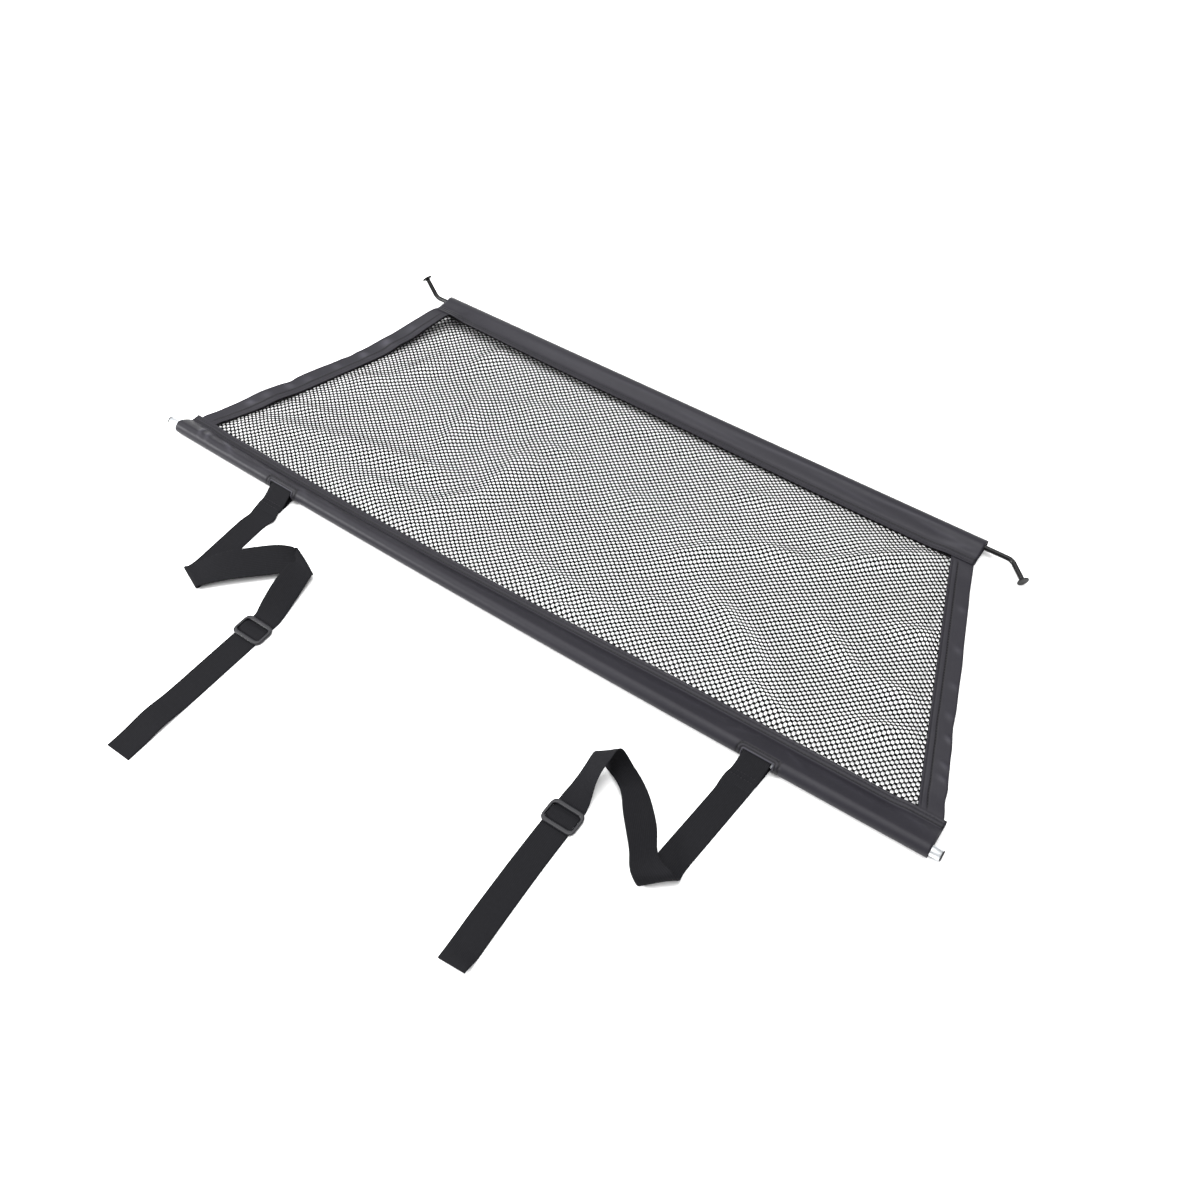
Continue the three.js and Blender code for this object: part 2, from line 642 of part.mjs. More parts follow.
function strapGeometry(strap) {
  const plan = strapPlan(strap);
  const half = STRAP_WIDTH / 2;
  const root = rootLine();
  const { left, right } = offsetLine(root, WEBBING);
  const yc = tubeY(windowX(strap));
  const slope = -Math.tan(radians(strap.skew));
  const rootRow = (line) => line.map((p) => [-half, half].map((w) => {
    const y = yc + p.x;
    return point(strap.x + slope * (y - TOUCH_DOWN_Y) + w, y, p.y);
  }));
  const stripRow = (offset) => strapRulings(strap, plan.folds, plan.end).map(({ s, slant }) =>
    [-half, half].map((w) => strapPoint(strap, plan, s + slant * w, w, offset)));
  const face = [...rootRow(right), ...stripRow(WEBBING / 2)];
  const back = [...rootRow(left), ...stripRow(-WEBBING / 2)];
  return thickSheet(face, back);
}

// A three-bar slider: the webbing runs under both end bars and over the low middle bar
function sliderGeometry(strap) {
  const plan = strapPlan(strap);
  const centre = strapPoint(strap, plan, plan.end.slider, 0, 0);
  const { width, length, corner, endBar, rail, height, middleBar } = SLIDER;
  const rounded = (w, h, r) => {
    const shape = new THREE.Shape();
    shape.moveTo(-w / 2 + r, -h / 2);
    shape.lineTo(w / 2 - r, -h / 2).absarc(w / 2 - r, -h / 2 + r, r, -Math.PI / 2, 0);
    shape.lineTo(w / 2, h / 2 - r).absarc(w / 2 - r, h / 2 - r, r, 0, Math.PI / 2);
    shape.lineTo(-w / 2 + r, h / 2).absarc(-w / 2 + r, h / 2 - r, r, Math.PI / 2, Math.PI);
    shape.lineTo(-w / 2, -h / 2 + r).absarc(-w / 2 + r, -h / 2 + r, r, Math.PI, 1.5 * Math.PI);
    return shape;
  };
  const frame = rounded(width, length, corner);
  frame.holes.push(rounded(width - 2 * rail, length - 2 * endBar, 1.5));
  const bars = new THREE.ExtrudeGeometry(frame, { depth: height, bevelEnabled: false, curveSegments: 4 });
  const barBase = WEBBING + GAP;
  const reach = length / 2 - corner;
  const low = 0.4;
  let solid = toSolid(bars.translate(0, 0, barBase));
  [-1, 1].forEach((side) => {
    const edge = side * (width / 2);
    const inside = side * (width / 2 - rail);
    const from = point(Math.min(edge, inside), -reach, low);
    const to = point(Math.max(edge, inside), reach, barBase + height / 2);
    solid = solid.add(toSolid(boxAt(from, to)));
  });
  const barLow = point(-width / 2 + rail / 2, -middleBar / 2, low);
  const barHigh = point(width / 2 - rail / 2, middleBar / 2, 2);
  solid = solid.add(toSolid(boxAt(barLow, barHigh)));
  const ahead = strapPoint(strap, plan, plan.end.slider + 10, 0, 0).sub(centre);
  const turned = Math.atan2(ahead.x, -ahead.y);
  return toGeometry(solid).rotateZ(turned).translate(centre.x, centre.y, 0);
}

// Assembly

const FINISH = {
  net: { color: 0x1d1d1f, roughness: 0.85, metalness: 0 },
  leatherette: { color: 0x3f3e44, roughness: 0.55, metalness: 0 },
  webbing: { color: 0x232325, roughness: 0.8, metalness: 0 },
  blackSteel: { color: 0x2a2a2c, roughness: 0.4, metalness: 0.8 },
  brightMetal: { color: 0xd4d6d8, roughness: 0.25, metalness: 1 },
  plastic: { color: 0x35353a, roughness: 0.35, metalness: 0 },
};

const barrier = new THREE.Group();

function addPiece(name, geometry, finish) {
  const mesh = new THREE.Mesh(geometry, new THREE.MeshStandardMaterial(finish));
  mesh.name = name;
  barrier.add(mesh);
}

addPiece('net_panel', netPanel(), FINISH.net);
addPiece('top_sleeve', topSleeve(), FINISH.leatherette);
addPiece('front_sleeve', frontSleeve(), FINISH.leatherette);
addPiece('left_binding', binding(-1), FINISH.leatherette);
addPiece('right_binding', binding(1), FINISH.leatherette);
addPiece('top_rod', topRod(), FINISH.blackSteel);
addPiece('front_tube', frontTube(), FINISH.brightMetal);
addPiece('tube_plug_left', tubePlug(-1), FINISH.plastic);
addPiece('tube_plug_right', tubePlug(1), FINISH.plastic);
STRAPS.forEach((strap) => {
  addPiece(`strap_${strap.side}`, strapGeometry(strap), FINISH.webbing);
  addPiece(`slider_${strap.side}`, sliderGeometry(strap), FINISH.plastic);
});

export default barrier;
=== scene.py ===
"""Looks of a dog car barrier net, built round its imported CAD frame.

The net, the leatherette bands, the webbing, the stitching and the fittings are surfaces worked
out with numpy from the same lines as the part's source, in millimetres, and put into meshes in
metres. +X runs along the front tube, +Y towards the top bar, +Z up, and the floor is at zero.
"""

import bpy
import numpy as np
from bpy.props import FloatProperty, FloatVectorProperty, PointerProperty
from mathutils import Matrix


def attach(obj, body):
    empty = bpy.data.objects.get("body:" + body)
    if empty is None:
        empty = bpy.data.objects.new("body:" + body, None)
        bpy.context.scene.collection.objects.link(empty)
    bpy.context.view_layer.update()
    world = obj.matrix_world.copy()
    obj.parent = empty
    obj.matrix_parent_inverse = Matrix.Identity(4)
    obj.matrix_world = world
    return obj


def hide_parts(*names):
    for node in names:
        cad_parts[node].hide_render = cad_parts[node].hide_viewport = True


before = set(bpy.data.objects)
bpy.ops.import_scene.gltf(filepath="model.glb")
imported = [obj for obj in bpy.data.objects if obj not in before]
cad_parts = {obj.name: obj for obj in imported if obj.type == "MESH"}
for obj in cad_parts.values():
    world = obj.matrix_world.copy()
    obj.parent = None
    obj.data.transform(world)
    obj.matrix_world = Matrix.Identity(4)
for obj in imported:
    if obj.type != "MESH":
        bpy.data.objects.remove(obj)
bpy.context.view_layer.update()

bl_info = {
    "name": "Dog Car Barrier Net",
    "version": (1, 0, 0),
    "blender": (4, 5, 0),
    "location": "3D View > Sidebar > Barrier Net",
    "description": "Builds the net, bands, straps and fittings of a dog car barrier",
    "category": "Add Mesh",
}

MM = 0.001

# Sizes in millimetres, lines of the part's source unless a comment says otherwise

GAP = 0.3  # clearance between pieces that touch
BAND, NET, WEBBING = 1.0, 1.0, 1.6  # thicknesses of the leatherette, the mesh and the straps
STRAP_WIDTH = 34.0
SEAM = 12.0  # how far the net and the bindings reach into a sleeve
FRONT_HALF = 549.0
CORNER_X, CORNER_Y = 546.0, 20.0
TOP_HALF = 428.0
TOP_INNER_Y, TOP_OUTER_Y = 368.0, 414.0
TOP_FOLD = 3.5
BINDING = 27.6  # width along X
LEFT_DRAWN = 2.0  # how far the whole left side is drawn in
LEFT_HANG = 0.8  # share of its height that the left binding loses at its outer edge
HANG_START, HANG_RAMP = 55.0, 45.0  # where that sets in, further from the top than in the source
WAVE_HANG = 0.3  # share that the waves of this binding lose there, less than in the source
LEFT_IN = 6.8  # the left binding's net side lies further in than the line of the source
LEFT_IN_FADE = (80.0, 110.0)  # over which that sets in, from the front corner and from the top
RIGHT_OUT = 2.2  # the right binding stands out past the line of the source
TUBE_RADIUS, TUBE_WALL = 6.0, 1.2
TUBE_LEFT, TUBE_RIGHT = -566.5, 560.0
TUBE_Y, TUBE_BOW = -15.1, 5.0
SLEEVE_ROOM = TUBE_RADIUS + WEBBING + 2 * GAP
TUBE_Z = BAND + SLEEVE_ROOM
FRONT_ROUND = SLEEVE_ROOM + BAND / 2
ROD_RADIUS = 3.25
ROD_BEND = 6.5  # tighter than in the source
ROD_Y, ROD_Z = 398.6, 10.5
ROD_LEFT, ROD_RIGHT = -445.5, 464.0
ROD_REACH = {"left": (-23.5, 8.0, 19.0), "right": (23.5, -21.5, -2.9)}
HEAD_RADIUS, HEAD_THICK, HEAD_NECK = 7.5, 2.6, 4.2
WINDOW_LEFT, WINDOW_RIGHT = -18.0, 18.6  # ends of a window, drawn in towards its strap
WINDOW_ANGLES = (-109.5, -231.4)  # its lower and upper rim, degrees round the tube
TOUCH_DOWN_Y = -60.0
FRONT_INNER = ((-549, 16.0), (-250, 11.5), (0, 14.7), (250, 21.5), (549, 26.0))
TOP_LIFTS = ((-430, 190, 13), (-100, 260, 7))
LIFT_REACH = 65.0
CORNER_FADE, TUCK_FADE = (30.0, 26.0), (26.0, 23.0)  # start and run of a sewn corner's rise
RIDGE_FADE = 40.0  # distance from a band at which the mesh has its whole ridges and sway
RIDGE_SHARE = 0.4  # lower than in the source, because the narrow folds below lie on them
# Soft ridges of the net: x, y, half length, half width, turn in degrees, rise
RIPPLES = (
    (-360, 100, 120, 22, 14, 5), (-250, 48, 95, 17, 12, 3.5), (-168, 195, 75, 24, 96, 4.5),
    (-280, 255, 60, 26, 60, 4), (-415, 235, 60, 26, 25, 4), (95, 200, 80, 22, 62, 4.5),
    (255, 108, 70, 17, -34, 5), (315, 58, 65, 14, -18, 3.5), (445, 98, 60, 15, 14, 3.5),
    (285, 322, 70, 22, 2, 4), (170, 262, 60, 24, 40, 3),
)
# Waves of the bindings' outer edges, closer to the photograph than the source's: y, reach,
# rise, how far the edge is drawn in
EDGE_WAVES = {
    "left": (
        (100, 20, 3.2, 0), (140, 9, 0, 3), (207, 18, 0, 2), (230, 10, 0, 3), (250, 12, 0, 1.5),
        (284, 14, 2.5, 0),
    ),
    "right": (
        (137, 15, 0, 1.6), (47, 8, 0, 1.0), (64, 7, 0, -0.7), (222, 20, 0, -0.8),
        (330, 12, 0, 0.4), (100, 8, 0, 0.3),
    ),
}
# Folds and legs of the straps, the right one's upper fold tighter and its legs 4 mm longer than
# in the source, and moves of their edges off the folded strip: distance along, reach, side, way
STRAPS = {
    "left": dict(
        x=-349.1, skew=3.4, lead=129.0, turn=-12.2, tail=202.2, curl=0.0,
        fold1=(-23.8, 2.8), leg2=(133.4, -0.45, -5.9), fold2=(-28.1, 3.2), leg3=(96.6, -0.25),
        wave=(150.0, 22.0, 3.0),
        moves=(
            (6, 9, 1, (4.5, 0, 2)), (13, 9, -1, (2.3, 1.6, 0)),
            (126, 12, -1, (0, 0, 4)), (252, 30, -1, (0, 0, 8)),
            (210, 50, 1, (2.8, -4.1, 6)), (258, 30, 1, (0, 0, 4)),
            (268, 15, -1, (-1.1, -0.8, 1)), (286, 14, 1, (1.6, -5.9, 0)),
        ),
    ),
    "right": dict(
        x=347.5, skew=-4.7, lead=138.2, turn=8.6, tail=191.0, curl=7.0,
        fold1=(24.0, 7.4), leg2=(127.6, -0.31, 3.0), fold2=(25.2, 9.0), leg3=(68.0, 0.15),
        wave=(140.0, 22.0, 0.8),
        moves=(
            (-2, 12, -1, (-2, 0, 0)), (158.5, 22, -1, (9.7, -3.7, 0)),
            (143.3, 20, 1, (5, 10, 6)), (312.6, 24, -1, (-5.5, -3.8, -2)),
            (296.6, 24, 1, (-10.9, -7.6, 18)), (326, 24, 1, (-8, -5.6, 10)),
            (262, 24, -1, (3.4, 2.4, 0)), (350, 20, 1, (-5.5, -3.8, 0)),
            (460, 130, 1, (-3.6, -2.5, 0)), (460, 130, -1, (-3.6, -2.5, 0)),
            (181, 22, 1, (-3.6, -2.5, 0)), (171, 11, -1, (-3.5, -2.4, 0)),
        ),
    ),
}
# A strap's way down after each fold: where it starts, how much shorter than the leg it is, and
# what it has to go beyond the fold's own height
WAY_DOWN = ((20.0, 30.0, -0.6), (8.0, 14.0, 0.6))
TURN_RAMP = 10.0  # half the length over which a strap turns before its slider
WEAVE_RISE, WEAVE_REACH, WEAVE_RAMP = 2.3, 10.0, 7.0  # webbing over the slider's middle bar
CURL_REACH = 24.0  # length of the tail that curls up
SLIDER_WIDTH, SLIDER_LENGTH, SLIDER_CORNER, SLIDER_TOP = 42.0, 30.0, 6.0, 4.9
# Half width and underside of the slider's end bars and of its rails, both wider and rounder than
# in the source, and half width, half height and middle of its middle bar
END_BAR, RAIL, MIDDLE_BAR = (2.6, 1.95), (1.8, 0.4), (2.0, 0.8, 1.2)
RAIL_END, RAIL_RAMP = 11.5, 3.5  # where a rail has gone over into the end bar, and how fast
# Webbing in front of the tube, before and after its turn: distance from the axis, height
LAP = ((32, 0.8), (24, 0.8), (17, 0.8), (11, 1.65), (6, 2.5))
DROP = ((24.5, 3.6), (28, 2.8), (33, 2.7), (37, 1.9), (41, 0.9))
DROP_ANGLE = 119.0  # where the webbing leaves the tube, degrees from +Y over its top
ROOT_STEPS = 100  # rows of the loop round the tube
LAP_ROWS, LAP_SEAM = (25.5, 31.5), 15.0  # stitch rows over the lap and half their length

SLOPE = (CORNER_X - TOP_HALF + 1) / (TOP_INNER_Y - CORNER_Y)  # of the net's slanted sides
NET_MIDDLE = BAND + GAP + NET / 2  # height of the net over the lower layer of a band
TUCK = BAND + 1.5 * GAP  # extra rise where a binding lies inside a sleeve

# Hexagon lattice of the net, measured on the photograph's right half; its strands are drawn
# thicker than real, so that they show
CELL_A = np.array((3.86, 3.49))
CELL_B = np.array((-4.41, 3.49))
CORNER_SHARE = 0.29
# A cell's hole before the lattice leans: its side corner and its shoulder lie by the thin
# diagonal yarns, its end dips between the shoulders round the thick middle of a strut
HOLE_SIDE, HOLE_SHOULDER, HOLE_END = (2.2, 0.0), (1.25, 2.45), (0.0, 2.2)
# Strand heights at the lattice corners and at those points, as shares of the strut's
STRAND_SHARES = (0.5, 0.5, 0.8, 1.0)
NET_LIFT = 2.5  # how far the slack mesh stands off the floor between its folds
NET_THIRDS = {"left": (-600, -160), "middle": (-160, 160), "right": (160, 600)}
# Narrow folds of the slack mesh between the bands, as the ridges above; their far sides are
# steeper
FOLD_STEEP = 0.55
FOLDS = (
    (-407, 75, 82, 24, 16.6, 7), (-260, 110, 75, 22, 10.5, 8), (-249, 60, 66, 20, 7, 7),
    (-162, 93, 38, 20, 50, 7), (-138, 170, 68, 24, 90, 6.5), (-228, 31, 70, 14, -3.6, 4),
    (-407, 206, 34, 22, 35, 6), (-364, 267, 42, 22, 66, 6), (-293, 332, 38, 18, 67, 6),
    (-246, 205, 56, 22, 98, 6.5), (-161, 289, 48, 30, 15, 5), (-104, 241, 28, 15, 6, 4),
    (24, 225, 30, 22, 21, 5), (142, 199, 62, 22, 50, 7), (224, 252, 40, 18, 9, 6),
    (325, 312, 76, 18, 41, 6), (244, 115, 62, 26, -28, 9), (307, 52, 52, 17, -13, 8),
    (442, 89, 38, 19, 18, 8), (352, 163, 43, 17, -31, 6), (411, 233, 25, 20, 15, 5.5),
    (433, 145, 26, 17, -4.5, 5.5), (31, 62, 108, 18, -4, 5), (57, 29, 42, 12, -3, 3.5),
    (135, 97, 25, 14, 13, 4), (157, 318, 38, 17, 16, 4), (-427, 113, 52, 16, 8, 5),
)

# Looks of the bands: stitch rows and grid rows, from the net-side edge, and small folds of the
# leatherette as x, distance from the net-side edge, half length, half width, turn in degrees, rise
SLEEVE_ROWS = (3.6, 8.6)
BINDING_ROWS = (3.0, 9.0)
EDGE_STEPS = np.array((11, 10.3, 9.6, 9.1, 8.6, 8.1, 7.5, 6.8, 6.1, 5.4, 4.7, 4.1, 3.6, 3.1, 2.5,
                       1.8, 1.1, 0.5, 0))[:, None]
WINDOW_FRAME = 6.5  # from a window's rim to its row of stitches
BAND_LEAVES = 0.6  # share of the arc past the windows where the front sleeve leaves the tube
# the rise of these folds also sets their painted highlight
FRONT_CREASES = (
    (-512, 27, 10, 3, 68, 1.5), (-498, 30, 10, 3, 62, 1.3), (-461, 30, 15, 3.4, 25, 1.3),
    (-425, 24, 42, 5, 4, 0.35), (-380, 30, 18, 3, -20, 0.4), (-322, 30, 12, 3, 38, 0.6),
    (-285, 27, 26, 4, 12, 0.35), (-180, 26, 60, 5, 3, 0.25), (-40, 28, 70, 5, -3, 0.25),
    (120, 28, 65, 5, 2, 0.25), (250, 27, 45, 4.5, -3, 0.3), (318, 30, 12, 3, -30, 0.4),
    (385, 29, 14, 3, 30, 0.4), (450, 26, 50, 5, 3, 0.3), (520, 22, 22, 5, 14, 0.4),
)
BINDING_CREASES = {
    -1: ((76, 16, 5, 5, 20, 1.8), (99, 16, 5, 5, 20, 1.0), (131, 16, 5, 5, 15, 1.4),
         (157, 14, 6, 5, 15, 1.0), (200, 15, 5, 6, 10, 1.0), (241, 14, 5, 6, 10, 1.8),
         (278, 15, 6, 6, 20, 2.0), (320, 15, 6, 6, 20, 1.0)),
    1: ((121, 23, 3, 4, 25, 1.2), (88, 22, 3, 5, 15, 0.9), (72, 21, 3, 5, 10, 0.9),
        (150, 22, 4, 5, 15, 0.7), (190, 22, 4, 5, 0, 0.7), (240, 22, 4, 5, 15, 0.7),
        (298, 21, 4, 5, 5, 0.7)),
}
TOP_CREASES = (
    (-330, 30, 60, 3.2, 2, 0.2), (-200, 24, 70, 3.2, -2, 0.25), (-80, 30, 80, 2.8, 1.5, 0.3),
    (40, 22, 70, 2.8, -2, 0.35), (150, 30, 80, 2.6, 2, 0.4), (250, 22, 60, 2.6, -3, 0.4),
    (320, 31, 50, 2.4, 3, 0.45), (375, 24, 36, 2.4, -5, 0.45), (400, 18, 18, 2.4, 12, 0.4),
)

# Stage: the floor and the lens in millimetres, the rest in metres and watts; the camera is fitted
# to the photograph, its axes given as its right, its up and its back
FLOOR_HALF, FLOOR_DEPTH = 6000.0, 0.05
BACKDROP = 0.45
SOFTBOXES = (
    ("softbox_back", (-1.2, 1.4, 4.6), 4.6, 250.0),
    ("softbox_low", (-2.8, 3.2, 1.0), 2.4, 14.0),
    ("softbox_left", (-3.6, 0.0, 3.4), 2.6, 60.0),
    ("softbox_overhead", (0.6, -0.8, 4.8), 4.6, 260.0),
    ("softbox_front", (-2.75, -2.4, 1.95), 1.1, 220.0),
)
SENSOR, LENS = 36.0, 35.4
CAMERA_PLACE = (0.5921, -0.6630, 1.0974)
CAMERA_RIGHT = (0.82008, 0.57225, 0.0)
CAMERA_UP = (-0.44450, 0.63701, 0.62979)
CAMERA_BACK = (0.36040, -0.51648, 0.77676)


def clamp01(t):
    """The value, held between 0 and 1."""
    return np.clip(t, 0.0, 1.0)


def smooth(t):
    """A smooth step: 0 up to 0, 1 from 1 on, a cubic between."""
    return clamp01(t) ** 2 * (3 - 2 * clamp01(t))


def bell(d, reach):
    """A bell: 1 at its middle, 1/e at its reach."""
    return np.exp(-((d / reach) ** 2))


def lerp(a, b, t):
    """The share t of the way from a to b."""
    return a + (b - a) * t


def unit(vectors):
    """Vectors made one long."""
    return vectors / np.linalg.norm(vectors, axis=-1, keepdims=True)


def run_along(points):
    """Distance along a line of points, from its first one."""
    steps = np.linalg.norm(np.diff(points, axis=0), axis=1)
    return np.concatenate(((0,), np.cumsum(steps)))


def linear(hex_colour):
    """An sRGB hex colour as linear red, green, blue and alpha."""
    srgb = np.array([int(hex_colour[k:k + 2], 16) / 255 for k in (1, 3, 5)])
    light = np.where(srgb <= 0.04045, srgb / 12.92, ((srgb + 0.055) / 1.055) ** 2.4)
    return (*light.tolist(), 1.0)


# Lines of the panel


def spline(table, x):
    """Centripetal Catmull-Rom curve through the table's points: a Hermite cubic in each span,
    with its parameter running evenly in x."""
    knots = np.array(table, float)
    line = np.vstack((2 * knots[0] - knots[1], knots, 2 * knots[-1] - knots[-2]))
    step = np.linalg.norm(np.diff(line, axis=0), axis=1) ** 0.5
    k = np.clip(np.searchsorted(knots[:, 0], x) - 1, 0, len(knots) - 2)
    y0, y1, y2, y3 = (line[k + n, 1] for n in range(4))
    d0, d1, d2 = (step[k + n] for n in range(3))
    m1 = ((y1 - y0) / d0 - (y2 - y0) / (d0 + d1) + (y2 - y1) / d1) * d1
    m2 = ((y2 - y1) / d1 - (y3 - y1) / (d1 + d2) + (y3 - y2) / d2) * d1
    t = clamp01((x - knots[k, 0]) / (knots[k + 1, 0] - knots[k, 0]))
    return y1 + m1 * t + (3 * (y2 - y1) - 2 * m1 - m2) * t ** 2 + (2 * (y1 - y2) + m1 + m2) * t ** 3


def front_inner(x):
    """Net side of the front sleeve."""
    return spline(FRONT_INNER, np.asarray(x, float))


def tube_y(x):
    """The tube's axis: a shallow parabola along the front."""
    return TUBE_Y - TUBE_BOW * (1 - (x / FRONT_HALF) ** 2)


def right_edge(y):
    """Outer edge of the right binding: a straight slant from the front corner on."""
    return CORNER_X - SLOPE * np.maximum(0, y - CORNER_Y)


def left_edge(y):
    """Outer edge of the left binding: the right one mirrored and drawn in."""
    return LEFT_DRAWN - right_edge(y)


def top_lift(x):
    """How far the top sleeve's net side stands up: two bells along it."""
    return sum(rise * bell(x - at, spread) for at, spread, rise in TOP_LIFTS)


def top_tilt(x, y):
    """Height of the top sleeve's underside: the lift, less and less towards the outer fold."""
    return top_lift(x) * clamp01((TOP_OUTER_Y - y) / (TOP_OUTER_Y - TOP_INNER_Y))


def corner_rise(x, y):
    """Rise of the sewn corners: 1 where a binding lies inside a sleeve, 0 on bare net."""
    inner = np.where(x < 0, -left_edge(y), right_edge(y)) - BINDING
    inside = np.minimum(y - front_inner(x), TOP_INNER_Y - y)
    (before, along), (start, across) = CORNER_FADE, TUCK_FADE
    over = smooth((np.abs(x) - inner + before) / along)
    return TUCK * over * smooth((start - inside) / across)


def ridges(x, y, table, steep=1.0):
    """Sum of long soft ridges, each a bell along and a narrower bell across its own line; the
    far side of each is narrower still by the share steep."""
    total = 0.0
    for at_x, at_y, long, wide, turn, rise in table:
        c, s = np.cos(np.radians(turn)), np.sin(np.radians(turn))
        dx, dy = x - at_x, y - at_y
        past = dy * c - dx * s
        across = bell(past, wide * np.where(past > 0, steep, 1.0))
        total = total + rise * bell(dx * c + dy * s, long) * across
    return total


def left_in(y):
    """How far in the left binding's net side lies, faded out at both corners."""
    front, top = LEFT_IN_FADE
    return LEFT_IN * smooth((y - CORNER_Y) / front) * smooth((TOP_INNER_Y - y) / top)


def off_the_bands(x, y, reach):
    """Shares, 0 at a band and 1 from reach on: off the sleeves, off the left binding, off the
    right one."""
    sleeves = smooth((y - front_inner(x)) / reach) * smooth((TOP_INNER_Y - y) / reach)
    return (sleeves, smooth((x - left_edge(y) - BINDING - left_in(y)) / reach),
            smooth((right_edge(y) - BINDING - x) / reach))


def folded_net_height(x, y):
    """Height of the net's middle with its narrow folds and a faint unevenness: three crossing
    sine waves; both are gone at the bands."""
    uneven = (np.sin(x / 5.3 + y / 8.1) + np.sin(y / 4.6 - x / 9.7 + 1.3)
              + np.sin(x / 11.0 - y / 6.2 + 2.1))
    slack, middle = (np.prod(off_the_bands(x, y, reach), axis=0) for reach in (14, 30))
    folds = ridges(x, y, FOLDS, FOLD_STEEP) + 0.2 * uneven
    return net_height(x, y) + slack * folds + middle * NET_LIFT


def net_height(x, y):
    """Height of the net's middle: flat, plus the tilt of the top sleeve, the sewn corners, the
    ridges of the slack mesh and the waves of the left binding, each faded out at the bands."""
    to_top = TOP_INNER_Y - y
    lift = np.where(to_top < 0, top_tilt(x, y), top_lift(x) * bell(to_top, LIFT_REACH))
    free, to_left, to_right = off_the_bands(x, y, RIDGE_FADE)
    waves = EDGE_WAVES["left"]
    wave = sum(rise * bell(y - at, reach) for at, reach, rise, _ in waves) * (1 - to_left)
    outer = clamp01(1 - (x - left_edge(y)) / BINDING)
    hung = 1 - LEFT_HANG * outer * smooth((to_top - HANG_START) / HANG_RAMP)
    slack = to_right * to_left * RIDGE_SHARE * ridges(x, y, RIPPLES)
    slack = slack + (1 - WAVE_HANG * outer) * wave
    return NET_MIDDLE + hung * lift + corner_rise(x, y) + free * slack


def seam_top(x, y):
    """Middle of a sleeve's upper layer over the net and, at its ends, over a binding."""
    return net_height(x, y) + NET / 2 + GAP + corner_rise(x, y) + BAND / 2


def strap_line(strap, y):
    """Where a strap's middle crosses y, between the tube and its first fold."""
    return strap["x"] - np.tan(np.radians(strap["skew"])) * (y - TOUCH_DOWN_Y)


def window_x(strap):
    """Middle of a strap's window, over the tube."""
    return strap_line(strap, tube_y(strap["x"]))


# Meshes


def grid_faces(rows, cols, ring=False, closed=False):
    """Quads of a grid of indices, its columns joined into a ring and its rows closed where
    asked."""
    index = np.arange(rows * cols).reshape(rows, cols)
    if ring:
        index = np.hstack((index, index[:, :1]))
    if closed:
        index = np.vstack((index, index[:1]))
    corners = (index[:-1, :-1], index[:-1, 1:], index[1:, 1:], index[1:, :-1])
    return np.stack(corners, axis=-1).reshape(-1, 4)


def ring_caps(rows, cols):
    """End faces of a tube of rings, each ring one polygon."""
    last = (rows - 1) * cols
    return np.array((np.arange(cols)[::-1], last + np.arange(cols)))


def triangles(points, faces):
    """Corners of the triangles of groups of faces, each face cut into a fan."""
    return np.concatenate([points[group[:, (0, k, k + 1)]] for group in faces
                           for k in range(1, group.shape[1] - 1)])


def new_piece(name, points, faces, material, uv=None, painted_shading=None):
    """A mesh object at the origin from points in millimetres and arrays of faces, each array
    holding faces of one size. A closed mesh that comes out inside out is turned round."""
    points = np.asarray(points, float).reshape(-1, 3)
    faces = [np.asarray(group) for group in faces]
    a, b, c = triangles(points, faces).swapaxes(0, 1)
    if np.einsum("ij,ij", a, np.cross(b, c)) < 0:
        faces = [group[:, ::-1] for group in faces]
    loops = np.concatenate([group.ravel() for group in faces]).astype(np.int32)
    sizes = np.concatenate([np.full(len(group), group.shape[1]) for group in faces])
    starts = np.concatenate(((0,), np.cumsum(sizes)[:-1])).astype(np.int32)
    mesh = bpy.data.meshes.new(name)
    mesh.vertices.add(len(points))
    mesh.vertices.foreach_set("co", (points * MM).astype(np.float32).ravel())
    mesh.loops.add(len(loops))
    mesh.loops.foreach_set("vertex_index", loops)
    mesh.polygons.add(len(sizes))
    mesh.polygons.foreach_set("loop_start", starts)
    mesh.polygons.foreach_set("use_smooth", np.ones(len(sizes), bool))
    mesh.update(calc_edges=True)
    if mesh.validate():
        raise RuntimeError(f"{name}: the mesh had faults")
    if uv is not None:
        layer = mesh.uv_layers.new(name="along_the_cloth")
        layer.data.foreach_set("uv", (np.asarray(uv).reshape(-1, 2)[loops] * MM).ravel())
    # a float per point for the material: painted shade above zero, painted highlight below
    if painted_shading is not None:
        layer = mesh.attributes.new("painted_shading", "FLOAT", "POINT")
        layer.data.foreach_set("value", np.asarray(painted_shading, np.float32).ravel())
    mesh.materials.append(material)
    piece = bpy.data.objects.new(name, mesh)
    bpy.context.scene.collection.objects.link(piece)
    return piece


def settle(piece, slot, *nodes):
    """Rides a finished piece on the one body, in the place of its CAD nodes."""
    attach(piece, "root")
    if nodes:
        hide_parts(*nodes)
    return piece


def thicken(piece, thickness):
    """Gives a cloth surface its thickness, half to each side."""
    solid = piece.modifiers.new("thickness", "SOLIDIFY")
    solid.thickness = thickness * MM
    solid.offset = 0.0
    return piece


def outward(points):
    """Unit normals of a grid of points, turned so that its last row faces up."""
    across, along = np.gradient(points, axis=0), np.gradient(points, axis=1)
    normal = unit(np.cross(along, across))
    return normal * np.sign(normal[-1, :, 2].mean())


def edge_distance(points):
    """Distance over the cloth from the grid's last row, along each column."""
    steps = np.linalg.norm(np.diff(points, axis=0), axis=-1)
    back = np.cumsum(steps[::-1], axis=0)[::-1]
    return np.vstack((back, np.zeros((1, points.shape[1]))))


